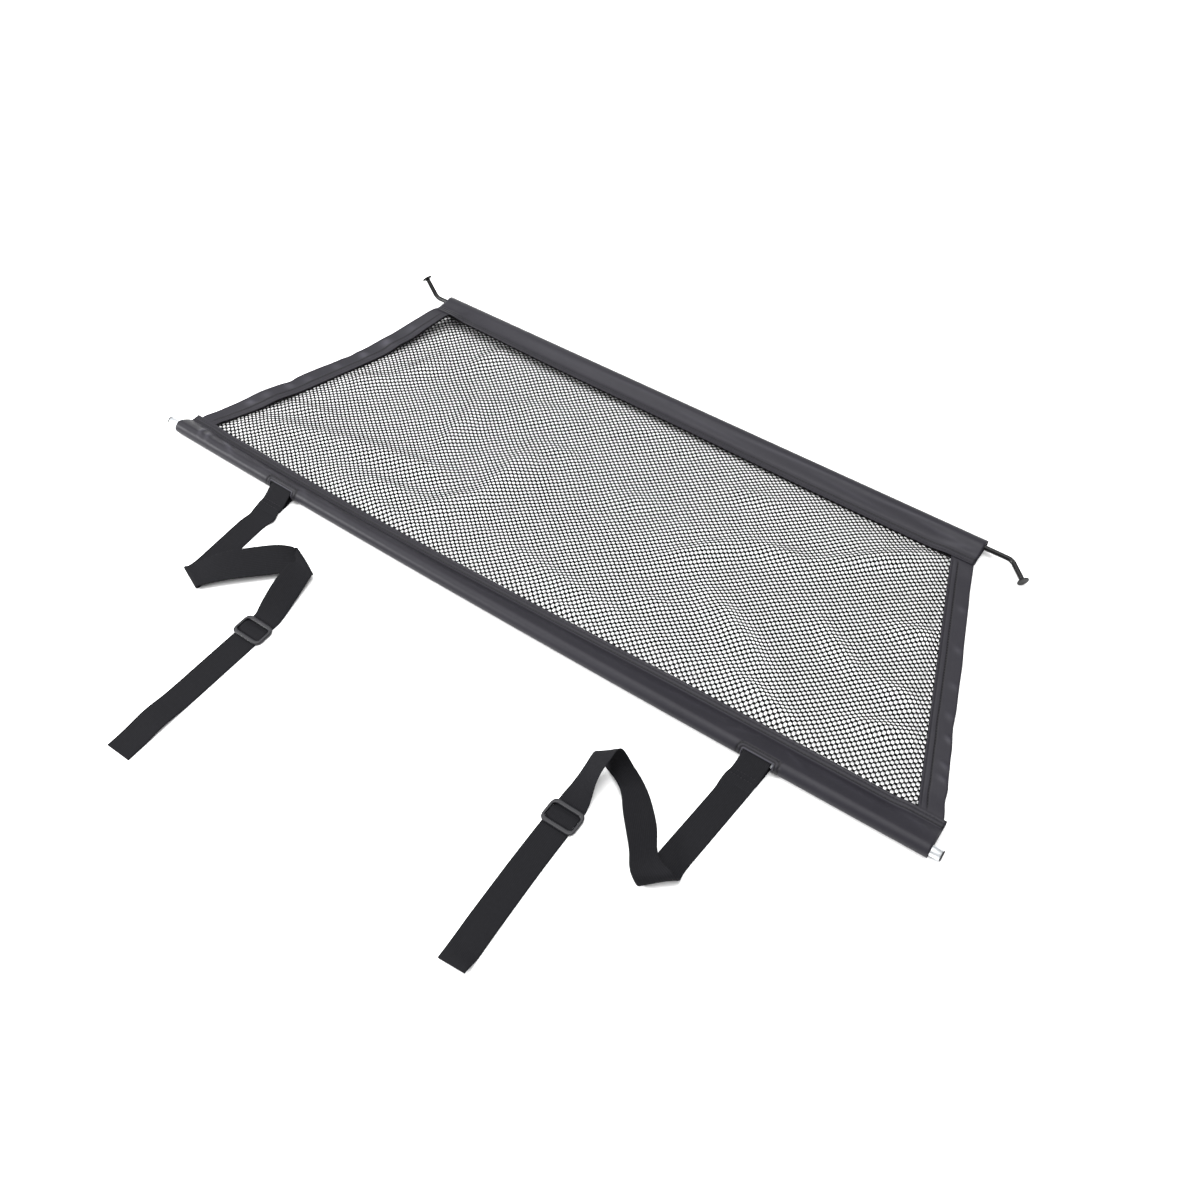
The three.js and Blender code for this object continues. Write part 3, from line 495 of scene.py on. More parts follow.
def sewn_cloth(along, d, rows, creases, crease_highlight_share, sizes):
    """Height and painted shading of a sewn band, d from its edge: a groove along each stitch row
    with painted shade in it, the outer one's shade fainter, small waves that sewing draws in beside
    the inner one, and small creases with a painted highlight, of the given share, where they stand
    up."""
    first, second = rows
    waves = np.sin(along / 2.3) + 0.8 * np.sin(along / 3.7 + 1.1) + 0.6 * np.sin(along / 6.1 + 2.3)
    folds = sizes.crease_height * ridges(along, d, creases)
    grooves = -sizes.groove_depth / MM * (bell(d - first, 0.7) + bell(d - second, 0.7))
    relief = grooves + 0.05 * waves * bell(d - second, 4.5) + folds
    # painted shade along the stitch rows, less a painted highlight on the raised creases
    return relief, 0.3 * bell(d - first, 0.8) + bell(d - second, 1.0) - crease_highlight_share * folds


# Materials


def node(tree, kind, settings=(), values=(), links=()):
    """Adds a node with its own settings, the values on its sockets and the links to them."""
    made = tree.nodes.new(kind)
    for key, value in dict(settings).items():
        setattr(made, key, value)
    for key, value in dict(values).items():
        made.inputs[key].default_value = value
    for key, (source, output) in dict(links).items():
        tree.links.new(source.outputs[output], made.inputs[key])
    return made


def new_material(name):
    """A material of that name with an empty node tree."""
    material = bpy.data.materials.get(name) or bpy.data.materials.new(name)
    material.use_nodes = True
    material.node_tree.nodes.clear()
    return material, material.node_tree


def finish_material(material, values, links=()):
    """Puts a shader with its values and links on a material's output."""
    tree = material.node_tree
    shader = node(tree, "ShaderNodeBsdfPrincipled", {}, values, links)
    node(tree, "ShaderNodeOutputMaterial", links={"Surface": (shader, "BSDF")})
    return material


def leatherette_material(finishes, sizes):
    """PVC leatherette, calendered on a knitted backing and embossed with a fine pebble grain:
    a soft satin sheen that breaks up in the grain, slightly uneven in tone."""
    material, tree = new_material("pvc_leatherette")
    place = node(tree, "ShaderNodeTexCoord")
    # real grain is about 0.5 mm; it is drawn coarser so that it shows
    grain = node(tree, "ShaderNodeTexVoronoi", {"feature": "SMOOTH_F1"},
                 {"Scale": 1 / sizes.grain_size, "Smoothness": 0.6},
                 {"Vector": (place, "Object")})
    creases = node(tree, "ShaderNodeTexNoise", {}, {"Scale": 1 / 0.009, "Detail": 4.0},
                   {"Vector": (place, "Object")})
    cloud = node(tree, "ShaderNodeTexNoise", {}, {"Scale": 1 / 0.05, "Detail": 3.0},
                 {"Vector": (place, "Object")})
    tone = node(tree, "ShaderNodeMix", {"data_type": "RGBA"},
                {6: finishes.leatherette, 7: finishes.leatherette_light}, {0: (cloud, "Fac")})
    # painted light from the mesh: above zero painted shade in seams, below zero painted highlight
    painted_shading = node(tree, "ShaderNodeAttribute", {"attribute_name": "painted_shading"})
    seam = node(tree, "ShaderNodeMapRange", {}, {}, {"Value": (painted_shading, "Fac")})
    painted_highlight = node(tree, "ShaderNodeMapRange", {}, {"From Max": -1.0}, {"Value": (painted_shading, "Fac")})
    # the thread's colour stands in for the painted shade in the seams
    seam_shaded = node(tree, "ShaderNodeMix", {"data_type": "RGBA"}, {7: finishes.thread},
                {0: (seam, "Result"), 6: (tone, 2)})
    # then the painted highlight colour on the creases and the window lips
    cloth = node(tree, "ShaderNodeMix", {"data_type": "RGBA"}, {7: finishes.leatherette_painted_highlight},
                 {0: (painted_highlight, "Result"), 6: (seam_shaded, 2)})
    gloss = node(tree, "ShaderNodeMapRange", {}, {"To Min": 0.38, "To Max": 0.52},
                 {"Value": (creases, "Fac")})
    fine = node(tree, "ShaderNodeBump", {}, {"Strength": 0.3, "Distance": 0.00015},
                {"Height": (grain, "Distance")})
    relief = node(tree, "ShaderNodeBump", {}, {"Strength": 0.15, "Distance": 0.0005},
                  {"Height": (creases, "Fac"), "Normal": (fine, "Normal")})
    return finish_material(material, {"IOR": 1.5, "Specular IOR Level": 0.15},
                           {"Base Color": (cloth, 2), "Roughness": (gloss, "Result"),
                            "Normal": (relief, "Normal")})


def net_material(finishes):
    """Warp-knitted polyester net, dyed black: matt filament yarn, each strand a twist of loops
    that shows as fine slanting ribs."""
    material, tree = new_material("knitted_polyester_net")
    place = node(tree, "ShaderNodeTexCoord")
    loops = node(tree, "ShaderNodeTexNoise", {}, {"Scale": 1 / 0.0007, "Detail": 2.0},
                 {"Vector": (place, "Object")})
    # paler where the same noise raises the yarns: a painted highlight on the raised yarns
    tone = node(tree, "ShaderNodeMix", {"data_type": "RGBA"},
                {6: finishes.net, 7: finishes.net_raised_highlight}, {0: (loops, "Fac")})
    relief = node(tree, "ShaderNodeBump", {}, {"Strength": 0.5, "Distance": 0.0002},
                  {"Height": (loops, "Fac")})
    return finish_material(material, {"Roughness": 0.8, "IOR": 1.5, "Specular IOR Level": 0.06},
                           {"Base Color": (tone, 2), "Normal": (relief, "Normal")})


def webbing_material(finishes, sizes):
    """Woven elastic webbing, dyed black: close cross ribs over lengthwise cords, a dull weave
    with a painted highlight on its raised yarns."""
    material, tree = new_material("woven_elastic_webbing")
    place = node(tree, "ShaderNodeUVMap", {"uv_map": "along_the_cloth"})
    band = 0.31416  # the wave texture's bands repeat every 0.314 / scale
    ribs = node(tree, "ShaderNodeTexWave", {"bands_direction": "Y"},
                {"Scale": band / sizes.rib_pitch, "Distortion": 0.6, "Detail Scale": 300.0},
                {"Vector": (place, "UV")})
    cords = node(tree, "ShaderNodeTexWave", {"bands_direction": "X"},
                 {"Scale": band / (1.7 * sizes.rib_pitch), "Distortion": 0.3,
                  "Detail Scale": 200.0},
                 {"Vector": (place, "UV")})
    fuzz = node(tree, "ShaderNodeTexNoise", {}, {"Scale": 1 / 0.004, "Detail": 5.0},
                {"Vector": (place, "UV")})
    weave = node(tree, "ShaderNodeMath", {"operation": "MULTIPLY"},
                 links={0: (ribs, "Fac"), 1: (cords, "Fac")})
    weave_highlight_mottled = node(tree, "ShaderNodeMath", {"operation": "MULTIPLY"},
                   links={0: (weave, "Value"), 1: (fuzz, "Fac")})
    # paler where the weave stands up, varied by the fuzz: a painted highlight on the raised yarns
    tone = node(tree, "ShaderNodeMix", {"data_type": "RGBA"},
                {6: finishes.webbing, 7: finishes.webbing_raised_highlight}, {0: (weave_highlight_mottled, "Value")})
    relief = node(tree, "ShaderNodeBump", {}, {"Strength": 0.6, "Distance": 0.0003},
                  {"Height": (weave, "Value")})
    return finish_material(material, {"Roughness": 0.8, "IOR": 1.45, "Specular IOR Level": 0.08},
                           {"Base Color": (tone, 2), "Normal": (relief, "Normal")})


def thread_material(finishes):
    """Bonded polyester sewing thread: a tight twist, slightly shinier than the webbing."""
    material, tree = new_material("bonded_polyester_thread")
    place = node(tree, "ShaderNodeTexCoord")
    twist = node(tree, "ShaderNodeTexNoise", {}, {"Scale": 1 / 0.0005, "Detail": 2.0},
                 {"Vector": (place, "Object")})
    tone = node(tree, "ShaderNodeMix", {"data_type": "RGBA"},
                {6: finishes.thread, 7: finishes.leatherette}, {0: (twist, "Fac")})
    return finish_material(material, {"Roughness": 0.55, "IOR": 1.5, "Specular IOR Level": 0.2},
                           {"Base Color": (tone, 2)})


def hard_material(name, values, grain, detail, gloss, strength, depth, stretch=None):
    """A hard skin: a noise of one grain size, drawn out along the piece where a stretch is given,
    moves the roughness between two values and lifts the skin a little."""
    material, tree = new_material(name)
    place = (node(tree, "ShaderNodeTexCoord"), "Object")
    if stretch:
        place = (node(tree, "ShaderNodeMapping", {}, {"Scale": stretch}, {"Vector": place}), "Vector")
    skin = node(tree, "ShaderNodeTexNoise", {}, {"Scale": 1 / grain, "Detail": detail},
                {"Vector": place})
    rough = node(tree, "ShaderNodeMapRange", {}, {"To Min": gloss[0], "To Max": gloss[1]},
                 {"Value": (skin, "Fac")})
    relief = node(tree, "ShaderNodeBump", {}, {"Strength": strength, "Distance": depth},
                  {"Height": (skin, "Fac")})
    return finish_material(material, values,
                           {"Roughness": (rough, "Result"), "Normal": (relief, "Normal")})


def steel_material(finishes):
    """Powder-coated steel: a black skin with faint orange peel, and a thin long highlight
    along the bar."""
    return hard_material("powder_coated_steel", {"Base Color": finishes.steel, "IOR": 1.5,
                                                 "Specular IOR Level": 0.15},
                         grain=0.0016, detail=2.0, gloss=(0.2, 0.28), strength=0.2, depth=0.0001)


def bright_metal_material(finishes):
    """Drawn aluminium tube: bright, with fine lengthwise draw lines that stretch highlights."""
    # real draw lines are about 0.1 mm apart; they are drawn coarser so that they show
    return hard_material("drawn_aluminium", {"Base Color": finishes.bright_metal, "Metallic": 1.0},
                         grain=0.0006, detail=3.0, gloss=(0.38, 0.52), strength=0.1,
                         depth=0.00005, stretch=(0.02, 1.0, 1.0))


def plastic_material(name, colour):
    """Injection-moulded plastic: a smooth skin with a faint spark-eroded texture, clear small
    highlights on its rounded edges."""
    # a real eroded skin is about 0.1 mm; it is drawn coarser so that it shows
    return hard_material(name, {"Base Color": colour, "IOR": 1.48, "Specular IOR Level": 0.2},
                         grain=0.0008, detail=2.0, gloss=(0.22, 0.34), strength=0.12, depth=0.0001)


def floor_material(finishes):
    """White studio paper: matt and even, so that only soft shadows show on it."""
    material, _ = new_material("white_studio_paper")
    return finish_material(material, {"Base Color": finishes.floor, "Roughness": 0.9,
                                      "Specular IOR Level": 0.2})


# Net


def net_cells():
    """Lattice numbers and centres of the net's cells: those that lie between the bands or
    within 11 mm under them."""
    reach = np.arange(-80, 140)
    i, j = (number.ravel() for number in np.meshgrid(reach, reach, indexing="ij"))
    centre = i[:, None] * CELL_A + j[:, None] * CELL_B
    x, y = centre.T
    under = SEAM - 1
    inside = (y > front_inner(x) - under) & (y < TOP_INNER_Y + under)
    inside &= (x > left_edge(y) + BINDING - under) & (x < right_edge(y) - BINDING + under)
    return i[inside], j[inside], centre[inside]


def net_surface(third, sizes):
    """Points and faces of the part of the net whose cells lie between two x.

    Each cell is a hexagon of its lattice with an eight-cornered hole. A strand has a six-sided
    section: its ridge above and below runs along the hexagon's sides, which neighbours share,
    and its upright sides are the walls of the holes; struts are thick in the middle, diagonals
    thin. Where a cell has no neighbour the strand is closed by an upright face. The lattice
    sways a little in its plane, and the whole lies on the folded net's height."""
    i, j, centre = net_cells()
    kept = (centre[:, 0] >= third[0]) & (centre[:, 0] < third[1])
    i, j, centre = i[kept], j[kept], centre[kept]
    side = CORNER_SHARE * (CELL_A - CELL_B)[0]
    tall = CELL_A[1]
    lean = (CELL_A + CELL_B)[0] / (2 * tall)
    flat = (CELL_A - CELL_B)[0] / 2 - side
    quarter = np.array((HOLE_SIDE, HOLE_SHOULDER, HOLE_END, HOLE_SHOULDER) * 2)
    hole = quarter * ((1, 1), (1, 1), (1, 1), (-1, 1), (-1, 1), (-1, -1), (1, -1), (1, -1))
    hole[:, 0] += lean * hole[:, 1]
    at_corner, at_side, at_shoulder, at_end = STRAND_SHARES
    rim_share = (at_side, at_shoulder, at_end, at_shoulder) * 2
    # corners of a cell by lattice number: the right corner of one cell or the left of another
    step, shift = 1000, 300
    right, left = 0, step * step
    base = (i + shift) * step + j + shift
    keys = np.stack((base + right, base + step + left, base + 1 + right,
                     base + left, base - step + right, base - 1 + left), axis=1)
    corners = np.array(((side, 0), (flat, tall), (-flat, tall),
                        (-side, 0), (-flat, -tall), (flat, -tall)))
    corners[:, 0] += lean * corners[:, 1]
    places = centre[:, None, :] + corners
    used, first, number = np.unique(keys, return_index=True, return_inverse=True)
    ridge = places.reshape(-1, 2)[first]
    number = number.reshape(keys.shape)
    rims = (centre[:, None, :] + hole).reshape(-1, 2)
    x, y = np.vstack((ridge, rims)).T
    sway = (0.9 * np.sin(y / 26 + 0.4 + x / 70) + 0.4 * np.sin(x / 21 + y / 39),
            0.9 * np.sin(x / 29 + 1.7 - y / 65) + 0.4 * np.sin(y / 18 - x / 34))
    slack = np.prod(off_the_bands(x, y, RIDGE_FADE), axis=0)
    x, y = x + slack * sway[0], y + slack * sway[1]
    count, cells = len(used), len(i)
    share = np.concatenate((np.full(count, at_corner), np.tile(rim_share, cells)))
    half = sizes.strand_height / MM / 2 * share
    middle = folded_net_height(x, y)
    points = np.vstack((np.column_stack((x, y, middle + half)),
                        np.column_stack((x, y, middle - half))))
    below = count + cells * 8
    rim = count + np.arange(cells * 8).reshape(cells, 8)
    beside = ((1, 0), (1, 1), (0, 1), (-1, 0), (-1, -1), (0, -1))
    quads, thirds = [], []
    for k, (near, end, far) in enumerate(((0, 0, 1), (1, 2, 3), (3, 3, 4), (4, 4, 5), (5, 6, 7),
                                          (7, 7, 0))):
        a, b = number[:, k], number[:, (k + 1) % 6]
        alone = ~np.isin(base + beside[k][0] * step + beside[k][1], base)
        quads.append(np.stack((b, a, a + below, b + below), axis=1)[alone])
        near, end, far = rim[:, near], rim[:, end], rim[:, far]
        if k in (1, 4):
            upper = [np.stack(face, axis=1) for face in ((a, end, near), (a, b, end), (b, far, end))]
            thirds += upper + [face[:, ::-1] + below for face in upper]
        else:
            upper = np.stack((a, b, far, near), axis=1)
            quads += [upper, upper[:, ::-1] + below]
    for k in range(8):
        n = (k + 1) % 8
        quads.append(np.stack((rim[:, k], rim[:, n], rim[:, n] + below, rim[:, k] + below), 1))
    return points, [np.vstack(quads), np.vstack(thirds)]


# Bands


def front_stations():
    """Columns of the front sleeve: closer at its ends and beside the strap windows."""
    even = np.linspace(-FRONT_HALF, FRONT_HALF, 316)
    ends = np.concatenate((np.arange(-548, -440, 1.8), np.arange(520, 548, 2.0)))
    rims = np.array((16, 10, 8, 7.2, WINDOW_FRAME, 5.8, 4.5, 3.4, 2.7, 2.1, 1.5, 0.9, 0.4))
    rims = np.concatenate((WINDOW_LEFT - rims, np.linspace(WINDOW_LEFT, WINDOW_RIGHT, 14),
                           WINDOW_RIGHT + rims[::-1]))
    windows = [window_x(strap) + rims for strap in STRAPS.values()]
    apart = np.sort(np.concatenate((even, ends)))
    for window in windows:
        apart = apart[np.abs(apart - window.mean()) > 36]
    stations = np.sort(np.concatenate((apart, *windows)))
    return stations[np.concatenate(((True,), np.diff(stations) > 0.4))]


def front_sleeve_grid(sizes):
    """Middle surface of the front sleeve: at each x flat along the floor, round the tube on an
    arc, back over the net on a quadratic curve that leaves the arc before its straight tangent
    would and bows out as stiff cloth does, and a sewn edge. Relief is added along the normal:
    stitch grooves, puckers, the rims of the windows, and small creases."""
    x = front_stations()
    inner, yc = front_inner(x), tube_y(x)
    seam_y = inner - SEAM
    seam_z = seam_top(x, seam_y)
    run_y, run_z = seam_y - yc, seam_z - TUBE_Z
    leave = np.arctan2(run_z, run_y) + np.arccos(FRONT_ROUND / np.hypot(run_y, run_z)) - 2 * np.pi
    low, high = np.radians(WINDOW_ANGLES)
    framed = high - WINDOW_FRAME / FRONT_ROUND
    fixed = np.concatenate((np.linspace(-np.pi / 2, low, 5), np.linspace(low, high, 17)[1:],
                            np.linspace(high, framed, 12)[1:]))
    leave = lerp(framed, leave, BAND_LEAVES)
    turned = lerp(framed, leave, np.linspace(0, 1, 9)[1:, None])
    angle = np.vstack((np.repeat(fixed[:, None], len(x), axis=1), turned))
    round_y, round_z = yc + FRONT_ROUND * np.cos(angle), TUBE_Z + FRONT_ROUND * np.sin(angle)
    under_y = lerp(inner, yc, np.linspace(0, 1, 11)[:-1, None])
    over = np.linspace(0, 1, 13)[1:, None]
    over_y, over_z = lerp(round_y[-1], seam_y, over), lerp(round_z[-1], seam_z, over)
    fall = (round_z[-1] - seam_z) - (seam_y - round_y[-1]) / np.tan(leave)
    over_z = over_z + fall * over * (1 - over)
    edge_z = lerp(seam_top(x, inner), seam_z, EDGE_STEPS / SEAM)
    y = np.vstack((under_y, round_y, over_y, inner - EDGE_STEPS))
    z = np.vstack((np.full_like(under_y, BAND / 2), round_z, over_z, edge_z))
    points = np.stack((np.broadcast_to(x, y.shape), y, z), axis=-1)
    q = edge_distance(points)
    first = len(under_y) + 4  # grid rows of the windows' lower and upper rim, and of their frame
    last = first + 16
    frame_top = last + 11
    relief, painted_shading = sewn_cloth(x, q, SLEEVE_ROWS, FRONT_CREASES, 0.5, sizes)
    open_faces = np.zeros((len(y) - 1, len(x) - 1), bool)
    for strap in STRAPS.values():
        beyond = x - window_x(strap)
        off = np.maximum(WINDOW_LEFT - beyond, beyond - WINDOW_RIGHT)
        past = np.maximum(q[last] - q, q - q[first])
        outside = np.hypot(np.maximum(off, 0), np.maximum(past, 0))
        near = smooth((40 - off) / 20)
        lip, groove = bell(outside - 0.5, 0.8), bell(outside - 2.4, 0.9)
        frame_row = bell(outside - WINDOW_FRAME, 1.0)
        relief = relief + near * (0.6 * lip - 0.5 * groove - 0.6 * frame_row)
        # painted shade in the groove and along the frame's stitch row, painted highlight on the lip
        painted_shading = painted_shading + near * (groove + frame_row - 0.9 * lip)
        open_faces[first:last] |= (off[1:] + off[:-1]) / 2 < 0
    above = smooth((z - 1.6) / 1.2)
    normal = outward(points)
    points = points + normal * (relief * above)[..., None]
    return dict(points=points, normal=normal, cut=open_faces, x=x, q=q, painted_shading=painted_shading * above,
                frame_rows=(first, frame_top))


def top_sleeve_grid(sizes):
    """Middle surface of the top sleeve: at each x flat below, round a small fold at the back,
    up to the bar's crest on a quarter ellipse, smoothly down to the seam and its sewn edge.
    Relief as on the front sleeve."""
    x = np.linspace(-TOP_HALF, TOP_HALF, 286)
    fold_y = TOP_OUTER_Y - TOP_FOLD
    fold_z = top_tilt(x, fold_y) + BAND / 2 + TOP_FOLD
    crest = ROD_Z + ROD_RADIUS + GAP + BAND / 2
    seam_y = TOP_INNER_Y + SEAM
    seam_z = seam_top(x, seam_y)
    under_y = np.linspace(TOP_INNER_Y, fold_y, 13)[:-1, None] + 0 * x
    under_z = top_tilt(x, under_y) + BAND / 2
    a = np.linspace(-np.pi / 2, 0, 8)[:, None]
    round_y, round_z = fold_y + TOP_FOLD * np.cos(a) + 0 * x, fold_z + TOP_FOLD * np.sin(a)
    a = np.linspace(0, np.pi / 2, 13)[1:, None]
    over_y = lerp(ROD_Y, TOP_OUTER_Y, np.cos(a)) + 0 * x
    over_z = lerp(fold_z, crest, np.sin(a))
    t = np.linspace(0, 1, 17)[1:, None]
    down_y = lerp(ROD_Y, seam_y, t) + 0 * x
    down_z = lerp(crest, seam_z, smooth(t))
    edge_y = TOP_INNER_Y + EDGE_STEPS + 0 * x
    edge_z = lerp(seam_top(x, TOP_INNER_Y), seam_z, EDGE_STEPS / SEAM)
    y = np.vstack((under_y, round_y, over_y, down_y, edge_y))
    z = np.vstack((under_z, round_z, over_z, down_z, edge_z))
    points = np.stack((np.broadcast_to(x, y.shape), y, z), axis=-1)
    q = edge_distance(points)
    # with the relief comes painted shade on the stitch rows and painted highlight on the creases
    relief, painted_shading = sewn_cloth(x, q, SLEEVE_ROWS, TOP_CREASES, 0.5, sizes)
    upper = np.arange(len(y))[:, None] >= len(under_y) + 6
    normal = outward(points)
    points = points + normal * (relief * upper)[..., None]
    # the left end is cut askew: its net side is shorter
    askew = 8 * smooth((-400 - x) / 28) * (TOP_OUTER_Y - y) / (TOP_OUTER_Y - TOP_INNER_Y)
    points[..., 0] += askew
    return dict(points=points, normal=normal, x=x, q=q, painted_shading=painted_shading * upper)


def binding_grid(side, sizes):
    """Middle surface of a side binding: a strip folded over the net's slanted edge, its section
    two flat layers and a half circle, carried along the edge on the net's own height. Relief on
    the upper layer: stitch grooves, puckers and small creases, gone where it lies inside a
    sleeve."""
    edge = left_edge if side < 0 else right_edge
    waves = EDGE_WAVES["left" if side < 0 else "right"]
    radius = (NET + 2 * GAP + BAND) / 2
    a = np.linspace(-np.pi / 2, -1.5 * np.pi, 9)
    near = np.array((26.8, 26, 25.2, 24.6, 24, 23.3, 22.4, 21.4, 20.5, 19.9, 19.3, 18.6, 17.9,
                     17.2, 16, 14, 12, 10, 8, 6, 4, 3))
    inset = np.concatenate((np.linspace(BINDING, 3, 10), 2 + radius * np.cos(a), near[::-1],
                            (BINDING,)))[:, None]
    high = np.concatenate((np.full(10, -radius), radius * np.sin(a), np.full(23, radius)))[:, None]
    inside = SEAM - 2
    part = np.concatenate((np.zeros(5), np.linspace(0, 1, 150), np.ones(5)))
    past = np.concatenate((np.linspace(-inside, -1, 5), np.zeros(150), np.linspace(1, inside, 5)))
    x = edge(0.0) - side * inset + 0 * part
    for _ in range(5):
        y = lerp(front_inner(x), TOP_INNER_Y, part) + past
        x = edge(y) - side * inset
    outer = clamp01(1 - inset / BINDING)
    if side < 0:
        x = x + (1 - outer) * left_in(y)
    z = net_height(x, y) + high
    drawn = sum(pull * bell(y - at, reach) for at, reach, _, pull in waves)
    x = x - side * outer * (drawn - (RIGHT_OUT if side > 0 else 0))
    points = np.stack((x, y, z), axis=-1)
    q = BINDING - inset + 0 * y
    free = smooth((y - front_inner(x) - 1) / 6) * smooth((TOP_INNER_Y - 1 - y) / 6)
    # with the relief comes painted shade on the stitch rows and painted highlight on the creases
    relief, painted_shading = sewn_cloth(y, q, BINDING_ROWS, BINDING_CREASES[side], 0.4, sizes)
    upper = free * (high > radius * 0.9)
    normal = outward(points)
    points = points + normal * (relief * upper)[..., None]
    return dict(points=points, normal=normal, q=q, free=free, painted_shading=painted_shading * upper)


def band_piece(name, grid, material):
    """A band's grid as a thick piece of cloth, less the faces that are cut out."""
    faces = grid_faces(*grid["points"].shape[:2])
    if "cut" in grid:
        faces = faces[~grid["cut"].ravel()]
    piece = new_piece(name, grid["points"], [faces], material, painted_shading=grid["painted_shading"])
    return thicken(piece, BAND)


# Stitching


def stitch_places(path, normal, sizes):
    """Centres, directions and normals of the stitches, evenly spaced along a line of points on
    the cloth."""
    run = run_along(path)
    pitch = (sizes.stitch_length + sizes.stitch_gap) / MM
    at = np.arange(pitch / 2, run[-1] - pitch / 2, pitch)

    def look(field, where):
        return np.stack([np.interp(where, run, field[:, k]) for k in range(3)], axis=1)

    ahead = unit(look(path, at + 0.5) - look(path, at - 0.5))
    return look(path, at), ahead, unit(look(normal, at))


def stitch_mesh(lines, sizes):
    """Joined points and faces of all stitches: each a six-sided spindle of four rings, its ends
    drawn down into the cloth."""
    places = [stitch_places(path, normal, sizes) for path, normal in lines]
    centre, ahead, up = (np.concatenate(group)[:, None, :] for group in zip(*places))
    beside = np.cross(up, ahead)
    half, thick = sizes.stitch_length / MM / 2, sizes.thread_width / MM / 2
    along = np.repeat((-1.0, -0.55, 0.55, 1.0), 6)[:, None] * half
    full = np.repeat((0.35, 1.0, 1.0, 0.35), 6)
    sunk = np.repeat((-0.3, 0.12, 0.12, -0.3), 6)
    turn = np.tile(np.arange(6) * np.pi / 3, 4)
    across = (full * thick * np.cos(turn))[:, None]
    height = (full * thick * np.sin(turn) + sunk)[:, None]
    points = centre + along * ahead + across * beside + height * up
    count = len(points)
    start = 24 * np.arange(count)[:, None, None]
    quads = (start + grid_faces(4, 6, ring=True)[None]).reshape(-1, 4)
    caps = (start + ring_caps(4, 6)[None]).reshape(-1, 6)
    return points, [quads, caps]


def seam_lines(grid, rows, keep=None):
    """Stitch lines of a band: the grid rows nearest to each distance from its edge."""
    lines = []
    half = len(grid["q"]) // 2
    for row in rows:
        k = half + int(np.argmin(np.abs(grid["q"][half:, 0] - row)))
        normal = grid["normal"][k]
        path = grid["points"][k] + normal * (BAND / 2)
        if keep is not None:
            path, normal = path[keep[k]], normal[keep[k]]
        lines.append((path, normal))
    return lines


def window_lines(grid):
    """Stitch lines round the strap windows: up one side, along the top and down the other."""
    lines = []
    for strap in STRAPS.values():
        at = window_x(strap)
        left, right = (int(np.argmin(np.abs(grid["x"] - at - end)))
                       for end in (WINDOW_LEFT - WINDOW_FRAME, WINDOW_RIGHT + WINDOW_FRAME))
        low, high = grid["frame_rows"]
        rows = np.concatenate((np.arange(low, high), np.full(right - left, high),
                               np.arange(high, low - 1, -1)))
        cols = np.concatenate((np.full(high - low, left), np.arange(left, right),
                               np.full(high - low + 1, right)))
        normal = grid["normal"][rows, cols]
        lines.append((grid["points"][rows, cols] + normal * (BAND / 2), normal))
    return lines


def lap_lines():
    """Stitch lines across the straps in front of the tube, through both layers of the loop."""
    lines = []
    front = root_line()[ROOT_STEPS // 2:]
    w = np.linspace(-LAP_SEAM, LAP_SEAM, 31)
    for strap in STRAPS.values():
        for out in LAP_ROWS:
            y = tube_y(window_x(strap)) - out
            z = np.interp(out, -front[:, 0], front[:, 1]) + WEBBING / 2
            path = np.column_stack((strap_line(strap, y) + w, y + 0 * w, z + 0 * w))
            lines.append((path, np.tile((0.0, 0.0, 1.0), (len(w), 1))))
    return lines


# Straps and sliders


def strap_plan(strap):
    """Distances along a strap from where it touches the floor: both folds, slider and tail."""
    start1 = strap["lead"]
    end1 = start1 + np.pi * strap["fold1"][1]
    start2 = end1 + strap["leg2"][0]
    end2 = start2 + np.pi * strap["fold2"][1]
    slider = end2 + strap["leg3"][0] + SLIDER_LENGTH / 2
    return start1, end1, start2, end2, slider, slider + strap["tail"]


def edge_moves(strap, s, w):
    """Moves of the strap's two edges: bells along it, full at one edge and none at the other."""
    return sum((bell(s - at, reach) * (0.5 + side * w / STRAP_WIDTH))[..., None] * move
               for at, reach, side, move in strap["moves"])


